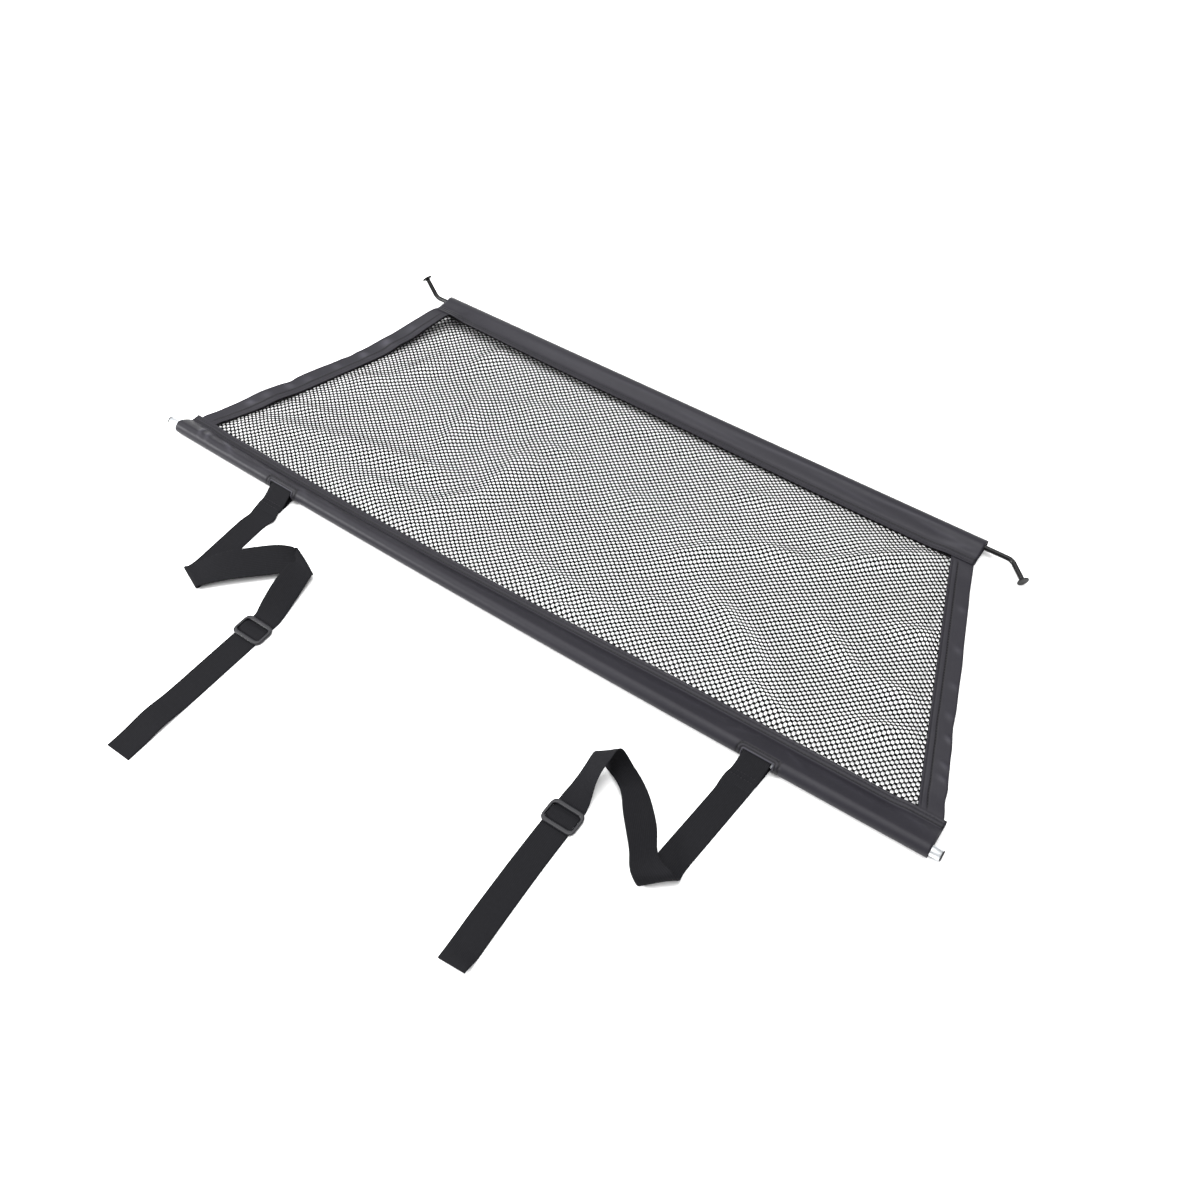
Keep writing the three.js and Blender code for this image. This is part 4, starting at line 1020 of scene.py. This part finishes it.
def strap_point(strap, s, w, offset):
    """Place of a point of the strap, s along it, w across and offset from its middle.

    The flat strip, with a bow and a turn in its own plane, is rolled over two creases in turn,
    the later one first; its height then gets the way down after each fold, the lean of each
    leg, the rise over the slider's bar, a wave and the curl of the tail."""
    start1, end1, start2, end2, slider, tail = strap_plan(strap)
    (long2, lean2, bow), (long3, lean3) = strap["leg2"], strap["leg3"]
    arch2 = clamp01(1 - ((s - end1 - long2 / 2) / (long2 / 2 + 4)) ** 2)
    arch3 = clamp01(1 - ((s - end2 - long3 / 2) / (long3 / 2 - 5)) ** 2)
    turn_at = slider - SLIDER_LENGTH / 2 - TURN_RAMP
    beyond, turn = np.maximum(0, s - turn_at), np.radians(strap["turn"])
    slewed = turn * smooth((s - turn_at + TURN_RAMP) / (2 * TURN_RAMP))
    px = np.minimum(s, turn_at) + beyond * np.cos(turn) - w * np.sin(slewed)
    py = beyond * np.sin(turn) + w * np.cos(slewed) + bow * arch2
    pz = offset + 0 * px
    for start, (angle, radius), up in ((start2, strap["fold2"], -1), (start1, strap["fold1"], 1)):
        c, d = np.cos(np.radians(angle)), np.sin(np.radians(angle))
        past = (s - start) * c + w * d
        n, k = (px - start) * c + py * d, -(px - start) * d + py * c
        a = np.clip(past / radius, 0, np.pi)
        rolling = past < np.pi * radius
        across = np.where(rolling, (radius - up * pz) * np.sin(a), np.pi * radius - n)
        height = np.where(rolling, up * (radius - (radius - up * pz) * np.cos(a)),
                          up * 2 * radius - pz)
        bent = past > 0
        px, py, pz = (np.where(bent, start + across * c - k * d, px),
                      np.where(bent, across * d + k * c, py), np.where(bent, height, pz))
    down = 0.0
    for end, long, (_, radius), (begin, left, more) in zip(
            (end1, end2), (long2, long3), (strap["fold1"], strap["fold2"]), WAY_DOWN):
        down = down + (2 * radius + more) * smooth((s - end - begin) / (long - left))
    half = STRAP_WIDTH / 2
    lean = arch2 * (abs(lean2) * half + lean2 * w) + arch3 * (abs(lean3) * half + lean3 * w)
    weave = WEAVE_RISE * smooth((WEAVE_REACH - np.abs(s - slider)) / WEAVE_RAMP)
    at, reach, rise = strap["wave"]
    wave = rise * bell(s - slider - at, reach)
    curl = strap["curl"] * smooth((s - tail + CURL_REACH) / CURL_REACH) * (0.6 + w / STRAP_WIDTH)
    z = WEBBING / 2 + pz - down + lean + weave + wave + curl
    skew = np.radians(strap["skew"])
    x = strap["x"] + px * np.sin(skew) + py * np.cos(skew)
    y = TOUCH_DOWN_Y - px * np.cos(skew) + py * np.sin(skew)
    return np.stack((x, y, z), axis=-1) + edge_moves(strap, s, w)


def root_line():
    """The strap's loop round the tube, from its sewn lap to the floor, as distance before the
    tube's axis and height: an arc between two lines of points, joined by one smooth curve."""
    radius = TUBE_RADIUS + GAP + WEBBING / 2
    a = np.radians(np.linspace(-90, DROP_ANGLE, 25))
    turn = np.column_stack((radius * np.cos(a), TUBE_Z + radius * np.sin(a)))
    points = np.vstack((np.array(LAP) * (-1, 1), turn, np.array(DROP) * (-1, 1)))
    run = run_along(points)
    at = np.linspace(0, run[-1], ROOT_STEPS)
    return np.column_stack([spline(np.column_stack((run, points[:, k])), at) for k in (0, 1)])


def strap_surface(strap):
    """The strap as a closed strip: a flat section with rounded edges carried along the loop and
    along the laid legs. Near each crease the sections slant to lie along it."""
    half, edge = STRAP_WIDTH / 2, WEBBING / 2
    flat = np.linspace(-half + edge, half - edge, 13)
    a = np.radians((60, 30, 0, -30, -60))
    w = np.concatenate((flat, half - edge + edge * np.cos(a), flat[::-1],
                        -half + edge - edge * np.cos(a)))
    offset = np.concatenate((np.full(13, edge), edge * np.sin(a), np.full(13, -edge),
                             -edge * np.sin(a)))
    root = root_line()
    tangent = unit(np.gradient(root, axis=0))
    yc = tube_y(window_x(strap))
    y = yc + root[:, :1] + offset * tangent[:, 1:]
    z = root[:, 1:] - offset * tangent[:, :1]
    run = run_along(root)
    before = run[-1] - run[:-1]
    loop = np.stack((strap_line(strap, y) + w, y, z), axis=-1)[:-1]
    loop = loop + edge_moves(strap, -before[:, None], w)
    start1, _, start2, _, _, tail = strap_plan(strap)
    s = np.linspace(0, tail, int(tail / 1.25))
    slant = 0.0
    for start, (angle, radius) in ((start1, strap["fold1"]), (start2, strap["fold2"])):
        reach = np.pi * radius / np.cos(np.radians(angle)) / 2
        away = np.abs(s - start - reach) - reach - 4
        slant = slant - np.tan(np.radians(angle)) * smooth(1 - away / 26)
    laid = strap_point(strap, s[:, None] + slant[:, None] * w, w + 0 * s[:, None],
                       offset + 0 * s[:, None])
    points = np.concatenate((loop, laid))
    along = np.concatenate((-before, s))
    uv = np.stack((w + 0 * along[:, None], along[:, None] + 0 * w), axis=-1)
    length = along[-1] - along[0]
    return points, uv, length


def rounded_loop(wide, long, corner, steps):
    """A rounded rectangle as points and outward directions, counter-clockwise."""
    a = np.concatenate([np.linspace(k, k + 1, steps) for k in range(4)]) * np.pi / 2
    sign = np.repeat(((1, 1), (-1, 1), (-1, -1), (1, -1)), steps, axis=0)
    out = np.column_stack((np.cos(a), np.sin(a)))
    return sign * (wide / 2 - corner, long / 2 - corner) + corner * out, out


def fuller(v):
    """A sine or cosine drawn out towards its ends, so that a round section gets fuller corners."""
    return np.sign(v) * np.abs(v) ** 0.55


def slider_surface(strap):
    """The slider's rim: a rounded section carried round a rounded rectangle, reaching further
    down along the side rails than at the end bars; and the low middle bar, a rounded section
    carried from rail to rail."""
    (bar_half, bar_low), (rail_half, rail_low) = END_BAR, RAIL
    loop = np.hstack(rounded_loop(SLIDER_WIDTH - 2 * rail_half, SLIDER_LENGTH - 2 * bar_half,
                                  SLIDER_CORNER, 9))
    t = np.linspace(0, 1, 7)[:-1, None]
    loop = np.concatenate([lerp(here, there, t) for here, there in zip(loop, np.roll(loop, -1, 0))])
    apart = np.linalg.norm(np.diff(loop[:, :2], axis=0, append=loop[:1, :2]), axis=1) > 1e-6
    line, out = loop[apart, :2], unit(loop[apart, 2:])
    rail = smooth((RAIL_END - np.abs(line[:, 1:])) / RAIL_RAMP)
    low, half_wide = lerp(bar_low, rail_low, rail), lerp(bar_half, rail_half, rail)
    sides, bar_sides, bar_rows = 20, 16, 13
    a = np.linspace(0, 2 * np.pi, sides, endpoint=False)
    across = half_wide * fuller(np.cos(a))
    height = (low + SLIDER_TOP) / 2 + (SLIDER_TOP - low) / 2 * fuller(np.sin(a))
    rim = np.concatenate((line[:, None, :] + across[..., None] * out[:, None, :],
                          height[..., None]), axis=-1)
    b = np.linspace(0, 2 * np.pi, bar_sides, endpoint=False)
    end = SLIDER_WIDTH / 2 - rail_half
    along = np.linspace(-end, end, bar_rows)[:, None]
    wide, thick, middle = MIDDLE_BAR
    bar = np.stack((along + 0 * b, wide * fuller(np.cos(b)) + 0 * along,
                    middle + thick * fuller(np.sin(b)) + 0 * along), axis=-1)
    points = np.concatenate((rim.reshape(-1, 3), bar.reshape(-1, 3)))
    base = len(line) * sides
    faces = np.vstack((grid_faces(len(line), sides, ring=True, closed=True),
                       base + grid_faces(bar_rows, bar_sides, ring=True)))
    caps = base + ring_caps(bar_rows, bar_sides)
    slider = strap_plan(strap)[4]
    centre, ahead = (strap_point(strap, np.array(slider + k), 0.0, 0.0) for k in (0, 10))
    turned = np.arctan2(ahead[0] - centre[0], centre[1] - ahead[1])
    c, s = np.cos(turned), np.sin(turned)
    spun = points @ np.array(((c, s, 0), (-s, c, 0), (0, 0, 1)))
    return spun + (centre[0], centre[1], 0), [faces, caps]


# Bar and tube


def swept_bar(path, radius, sides):
    """A round section carried along a path, its first spoke as near upright as can be."""
    ahead = unit(np.gradient(path, axis=0))
    up = unit(np.array((0, 0, 1.0)) - ahead[:, 2:] * ahead)
    beside = np.cross(ahead, up)
    a = np.linspace(0, 2 * np.pi, sides, endpoint=False)[None, :, None]
    ring = path[:, None] + radius * (np.cos(a) * up[:, None] + np.sin(a) * beside[:, None])
    return ring.reshape(-1, 3), [grid_faces(len(path), sides, ring=True),
                                 ring_caps(len(path), sides)]


def turned_shape(profile, axis, origin, sides):
    """A profile of radius and height turned about an axis through origin; it starts and ends
    a hair off the axis, where a small polygon closes it."""
    axis = unit(np.array(axis, float))
    spoke = unit(np.cross(axis, (0.3, 0.9, 0.1)))
    other = np.cross(axis, spoke)
    a = np.linspace(0, 2 * np.pi, sides, endpoint=False)[None, :, None]
    radius, height = (np.array(profile)[:, k, None, None] for k in (0, 1))
    points = np.array(origin) + height * axis + radius * (np.cos(a) * spoke + np.sin(a) * other)
    return points.reshape(-1, 3), [grid_faces(len(profile), sides, ring=True),
                                   ring_caps(len(profile), sides)]


def joined(shapes):
    """Several shapes' points and faces as one."""
    points, quads, caps, base = [], [], {}, 0
    for shape, (four, ends) in shapes:
        points.append(shape)
        quads.append(four + base)
        caps.setdefault(ends.shape[1], []).append(ends + base)
        base += len(shape)
    return np.vstack(points), [np.vstack(quads), *(np.vstack(group) for group in caps.values())]


def rod_shapes():
    """The bar along its path with a smooth bend at each end, and a rounded stud head on each
    end, turned about the way the end points."""
    ends = []
    for name, at in (("left", ROD_LEFT), ("right", ROD_RIGHT)):
        start, reach = np.array((at, ROD_Y, ROD_Z)), np.array(ROD_REACH[name])
        way = unit(reach)
        before = start - (np.sign(reach[0]) * ROD_BEND, 0, 0)
        after = start + ROD_BEND * way
        t = np.linspace(0, 1, 13)[:, None]
        bend = (1 - t) ** 2 * before + 2 * t * (1 - t) * start + t ** 2 * after
        straight = lerp(after, start + reach, np.linspace(0, 1, 6)[1:, None])
        ends.append((np.vstack((bend, straight)), way, start + reach + 0.4 * HEAD_THICK * way))
    (left, *_), (right, *_) = ends
    middle = lerp(left[0], right[0], np.linspace(0, 1, 40)[1:-1, None])
    shapes = [swept_bar(np.vstack((left[::-1], middle, right)), ROD_RADIUS, 28)]
    edge = np.radians(np.linspace(90, 0, 6))
    rim = np.column_stack((HEAD_RADIUS - 0.5 + 0.5 * np.cos(edge), -0.5 + 0.5 * np.sin(edge)))
    profile = np.vstack(((0.02, 0.0), (3.0, 0.02), rim, (HEAD_RADIUS, -0.9),
                         (HEAD_RADIUS - 0.35, -1.3), (HEAD_NECK + 0.3, -2.3),
                         (HEAD_NECK - 0.4, -HEAD_THICK), (0.02, -HEAD_THICK)))
    shapes += [turned_shape(profile, way, tip, 40) for _, way, tip in ends]
    return joined(shapes)


def tube_shape():
    """The tube: a closed profile of outer wall, chamfered end, bore and other end, turned about
    its own bowed line."""
    bore, outer, ease = TUBE_RADIUS - TUBE_WALL, TUBE_RADIUS, 0.3
    steps, sides = 60, 48
    x = np.linspace(TUBE_LEFT + ease, TUBE_RIGHT - ease, steps)
    along = np.concatenate((x, (TUBE_RIGHT, TUBE_RIGHT), x[::-1], (TUBE_LEFT, TUBE_LEFT)))
    radius = np.concatenate((np.full(steps, outer), (outer - ease, bore + ease),
                             np.full(steps, bore), (bore + ease, outer - ease)))[:, None]
    a = np.linspace(0, 2 * np.pi, sides, endpoint=False)
    y = tube_y(along)[:, None] + radius * np.cos(a)
    z = TUBE_Z + radius * np.sin(a)
    points = np.stack((np.broadcast_to(along[:, None], y.shape), y, z), axis=-1)
    return points.reshape(-1, 3), [grid_faces(len(along), sides, ring=True, closed=True)]


def plug_shape(side):
    """An end plug turned about the tube's axis: stem, flange against the tube, rounded face."""
    x = TUBE_LEFT if side < 0 else TUBE_RIGHT
    stem, seat, deep = TUBE_RADIUS - TUBE_WALL - 0.5, GAP, 9.0
    edge = np.radians(np.linspace(0, 90, 6))
    rim = np.column_stack((TUBE_RADIUS - 0.6 + 0.6 * np.cos(edge),
                           seat + 0.9 + 0.6 * np.sin(edge)))
    profile = np.vstack(((0.02, -deep), (stem - 0.6, -deep), (stem, 1 - deep), (stem, seat),
                         (TUBE_RADIUS, seat), rim, (2.0, seat + 1.5), (0.02, seat + 1.5)))
    return turned_shape(profile, (side, 0, 0), (x, tube_y(x), TUBE_Z), 40)


# Settings, operators and panel


def length_property(name, description, default):
    """A length in metres that a user may change."""
    return FloatProperty(name=name, description=description, default=default, min=0.0,
                         precision=5, unit="LENGTH")


def colour_property(name, description, hex_colour):
    """A colour that a user may change, given as an sRGB hex value."""
    return FloatVectorProperty(name=name, description=description, size=4, subtype="COLOR",
                               default=linear(hex_colour), min=0.0, max=1.0)


class BarrierSizes(bpy.types.PropertyGroup):
    """Sizes of the barrier's yarns, stitches and grains"""

    strand_height: length_property("Strand height", "Thickness of a strut of the net", 0.0011)
    stitch_length: length_property("Stitch length", "Visible length of a stitch", 0.0032)
    stitch_gap: length_property("Stitch gap", "Space between two stitches", 0.0009)
    thread_width: length_property("Thread width", "Thread, drawn thick so that it shows", 0.0009)
    groove_depth: length_property("Seam depth", "How deep a seam draws the cloth in", 0.00045)
    grain_size: length_property("Grain size", "Width of a pebble of the leatherette", 0.0013)
    rib_pitch: length_property("Rib pitch", "Distance between two ribs of the webbing", 0.0012)
    crease_height: FloatProperty(name="Crease height", default=1.0, min=0.0, max=1.5,
                                 description="Share of the small creases of the leatherette",
                                 subtype="FACTOR")


class BarrierFinishes(bpy.types.PropertyGroup):
    """Colours of the barrier's materials"""

    leatherette: colour_property("Leatherette", "Colour of the bands", "#1c1b20")
    leatherette_light: colour_property("Leatherette, paler", "Their paler patches", "#212025")
    # painted highlight colour for the creases and window lips of the bands
    leatherette_painted_highlight: colour_property("Leatherette, taut", "Their stretched creases", "#39383f")
    net: colour_property("Net", "Colour of the net", "#030303")
    # painted highlight colour of the net's raised yarns
    net_raised_highlight: colour_property("Net, paler", "Raised yarns of the net", "#080808")
    webbing: colour_property("Webbing", "Colour of the straps", "#121214")
    # painted highlight colour of the straps' raised yarns
    webbing_raised_highlight: colour_property("Webbing, paler", "Raised yarns of the straps", "#232327")
    thread: colour_property("Thread", "Colour of the stitching", "#060607")
    steel: colour_property("Bar", "Coating of the top bar", "#0b0b0c")
    bright_metal: colour_property("Tube", "Metal of the front tube", "#d3d6d9")
    slider: colour_property("Sliders", "Plastic of the sliders", "#1d1d20")
    plug: colour_property("Plugs", "Plastic of the tube's end plugs", "#121214")
    floor: colour_property("Floor", "Paper under the barrier", "#f6f6f6")


def settings(context):
    """The scene's sizes and finishes."""
    return context.scene.barrier_sizes, context.scene.barrier_finishes


class BARRIER_OT_net(bpy.types.Operator):
    """Make the net in three parts that meet along its strands"""

    bl_idname = "barrier.net"
    bl_label = "Net"

    def execute(self, context):
        sizes, finishes = settings(context)
        material = net_material(finishes)
        for name, third in NET_THIRDS.items():
            points, faces = net_surface(third, sizes)
            piece = new_piece(f"net_{name}", points, faces, material)
            settle(piece, "net", "net_panel")
            # the holes are open; the corners of its triangles in metres are worked out, but nothing
            # uses them
            a, b, c = (triangles(points, faces) * MM).swapaxes(0, 1)
        return {"FINISHED"}


class BARRIER_OT_sleeves(bpy.types.Operator):
    """Make the leatherette sleeves of the tube and the bar"""

    bl_idname = "barrier.sleeves"
    bl_label = "Sleeves"

    def execute(self, context):
        sizes, finishes = settings(context)
        material = leatherette_material(finishes, sizes)
        for name, grid, node_name, held_by in (
            ("front_sleeve_cloth", front_sleeve_grid(sizes), "front_sleeve", "front_tube"),
            ("top_sleeve_cloth", top_sleeve_grid(sizes), "top_sleeve", "top_rod"),
        ):
            piece = band_piece(name, grid, material)
            settle(piece, "leatherette", node_name)
        return {"FINISHED"}


class BARRIER_OT_bindings(bpy.types.Operator):
    """Make the leatherette bindings of the net's slanted sides"""

    bl_idname = "barrier.bindings"
    bl_label = "Side bindings"

    def execute(self, context):
        sizes, finishes = settings(context)
        material = leatherette_material(finishes, sizes)
        for name, side in (("left", -1), ("right", 1)):
            grid = binding_grid(side, sizes)
            piece = band_piece(f"{name}_binding_cloth", grid, material)
            settle(piece, "leatherette", f"{name}_binding")
        return {"FINISHED"}


class BARRIER_OT_stitching(bpy.types.Operator):
    """Make the stitches of the bands, the strap windows and the strap loops"""

    bl_idname = "barrier.stitching"
    bl_label = "Stitching"

    def execute(self, context):
        sizes, finishes = settings(context)
        material = thread_material(finishes)
        front, top = front_sleeve_grid(sizes), top_sleeve_grid(sizes)
        lines = seam_lines(front, SLEEVE_ROWS) + seam_lines(top, SLEEVE_ROWS) + window_lines(front)
        for side in (-1, 1):
            grid = binding_grid(side, sizes)
            lines += seam_lines(grid, BINDING_ROWS[1:], grid["free"] > 0.5)
        points, faces = stitch_mesh(lines, sizes)
        settle(new_piece("band_stitching", points, faces, material), "net")
        points, faces = stitch_mesh(lap_lines(), sizes)
        settle(new_piece("strap_stitching", points, faces, material), "webbing")
        return {"FINISHED"}


class BARRIER_OT_bar_and_tube(bpy.types.Operator):
    """Make the headed top bar, the front tube and its end plugs"""

    bl_idname = "barrier.bar_and_tube"
    bl_label = "Bar, tube and plugs"

    def execute(self, context):
        _, finishes = settings(context)
        bar = new_piece("top_bar", *rod_shapes(), steel_material(finishes))
        settle(bar, "black_steel", "top_rod")
        tube = new_piece("bright_tube", *tube_shape(), bright_metal_material(finishes))
        settle(tube, "bright_metal", "front_tube")
        plastic = plastic_material("moulded_polyethylene", finishes.plug)
        for name, side in (("left", -1), ("right", 1)):
            plug = new_piece(f"end_plug_{name}", *plug_shape(side), plastic)
            settle(plug, "plug_plastic", f"tube_plug_{name}")
        return {"FINISHED"}


class BARRIER_OT_straps(bpy.types.Operator):
    """Make the two folded webbing straps"""

    bl_idname = "barrier.straps"
    bl_label = "Straps"

    def execute(self, context):
        sizes, finishes = settings(context)
        material = webbing_material(finishes, sizes)
        for name, strap in STRAPS.items():
            points, uv, length = strap_surface(strap)
            rows, cols = points.shape[:2]
            faces = [grid_faces(rows, cols, ring=True), ring_caps(rows, cols)]
            piece = new_piece(f"webbing_{name}", points, faces, material, uv)
            settle(piece, "webbing", f"strap_{name}")
        return {"FINISHED"}


class BARRIER_OT_sliders(bpy.types.Operator):
    """Make the three-bar sliders on the straps"""

    bl_idname = "barrier.sliders"
    bl_label = "Sliders"

    def execute(self, context):
        _, finishes = settings(context)
        plastic = plastic_material("moulded_acetal", finishes.slider)
        for name, strap in STRAPS.items():
            piece = new_piece(f"three_bar_slider_{name}", *slider_surface(strap), plastic)
            settle(piece, "slider_plastic", f"slider_{name}")
        return {"FINISHED"}


class BARRIER_OT_stage(bpy.types.Operator):
    """Make the floor, the soft studio light and the camera"""

    bl_idname = "barrier.stage"
    bl_label = "Stage"

    def execute(self, context):
        _, finishes = settings(context)
        scene = context.scene
        corners = np.array(((-1, -1), (1, -1), (1, 1), (-1, 1))) * FLOOR_HALF
        points = np.column_stack((corners, np.full(4, -FLOOR_DEPTH)))
        floor = new_piece("paper_floor", points, [np.array(((0, 1, 2, 3),))],
                          floor_material(finishes))
        world = bpy.data.worlds.new("studio")
        world.use_nodes = True
        backdrop = world.node_tree.nodes["Background"]
        backdrop.inputs["Color"].default_value = (1.0, 1.0, 1.0, 1.0)
        backdrop.inputs["Strength"].default_value = BACKDROP
        scene.world = world
        for name, place, size, power in SOFTBOXES:
            lamp = bpy.data.lights.new(name, "AREA")
            lamp.shape, lamp.size, lamp.energy = "SQUARE", size, power
            box = bpy.data.objects.new(name, lamp)
            box.location = place
            aim = -box.location
            box.rotation_euler = aim.to_track_quat("-Z", "Y").to_euler()
            scene.collection.objects.link(box)
        lens = bpy.data.cameras.new("photo_camera")
        lens.sensor_width, lens.lens = SENSOR, LENS
        lens.clip_start, lens.clip_end = 0.01, 50.0
        camera = bpy.data.objects.new("photo_camera", lens)
        turned = Matrix((CAMERA_RIGHT, CAMERA_UP, CAMERA_BACK)).transposed().to_4x4()
        turned.translation = CAMERA_PLACE
        camera.matrix_world = turned
        scene.collection.objects.link(camera)
        scene.camera = camera
        scene.view_settings.view_transform = "Standard"
        return {"FINISHED"}


OPERATORS = (
    BARRIER_OT_stage, BARRIER_OT_net, BARRIER_OT_sleeves, BARRIER_OT_bindings,
    BARRIER_OT_stitching, BARRIER_OT_bar_and_tube, BARRIER_OT_straps, BARRIER_OT_sliders,
)


class BARRIER_PT_panel(bpy.types.Panel):
    """Sizes, colours and pieces of the barrier"""

    bl_label = "Dog Car Barrier Net"
    bl_space_type = "VIEW_3D"
    bl_region_type = "UI"
    bl_category = "Barrier Net"

    def draw(self, context):
        for group in settings(context):
            box = self.layout.box()
            for name in group.bl_rna.properties.keys():
                if name not in ("rna_type", "name"):
                    box.prop(group, name)
        for kind in OPERATORS:
            self.layout.operator(kind.bl_idname)


CLASSES = (BarrierSizes, BarrierFinishes, *OPERATORS, BARRIER_PT_panel)


def register():
    """Adds the classes and the scene's settings."""
    for kind in CLASSES:
        bpy.utils.register_class(kind)
    bpy.types.Scene.barrier_sizes = PointerProperty(type=BarrierSizes)
    bpy.types.Scene.barrier_finishes = PointerProperty(type=BarrierFinishes)


def unregister():
    """Takes the settings and classes away again."""
    del bpy.types.Scene.barrier_finishes
    del bpy.types.Scene.barrier_sizes
    for kind in reversed(CLASSES):
        bpy.utils.unregister_class(kind)


def main():
    """Builds the stage and all pieces."""
    register()
    barrier = bpy.ops.barrier
    for build in (barrier.stage, barrier.net, barrier.sleeves, barrier.bindings,
                  barrier.stitching, barrier.bar_and_tube, barrier.straps, barrier.sliders):
        build()


if __name__ == "__main__":
    main()
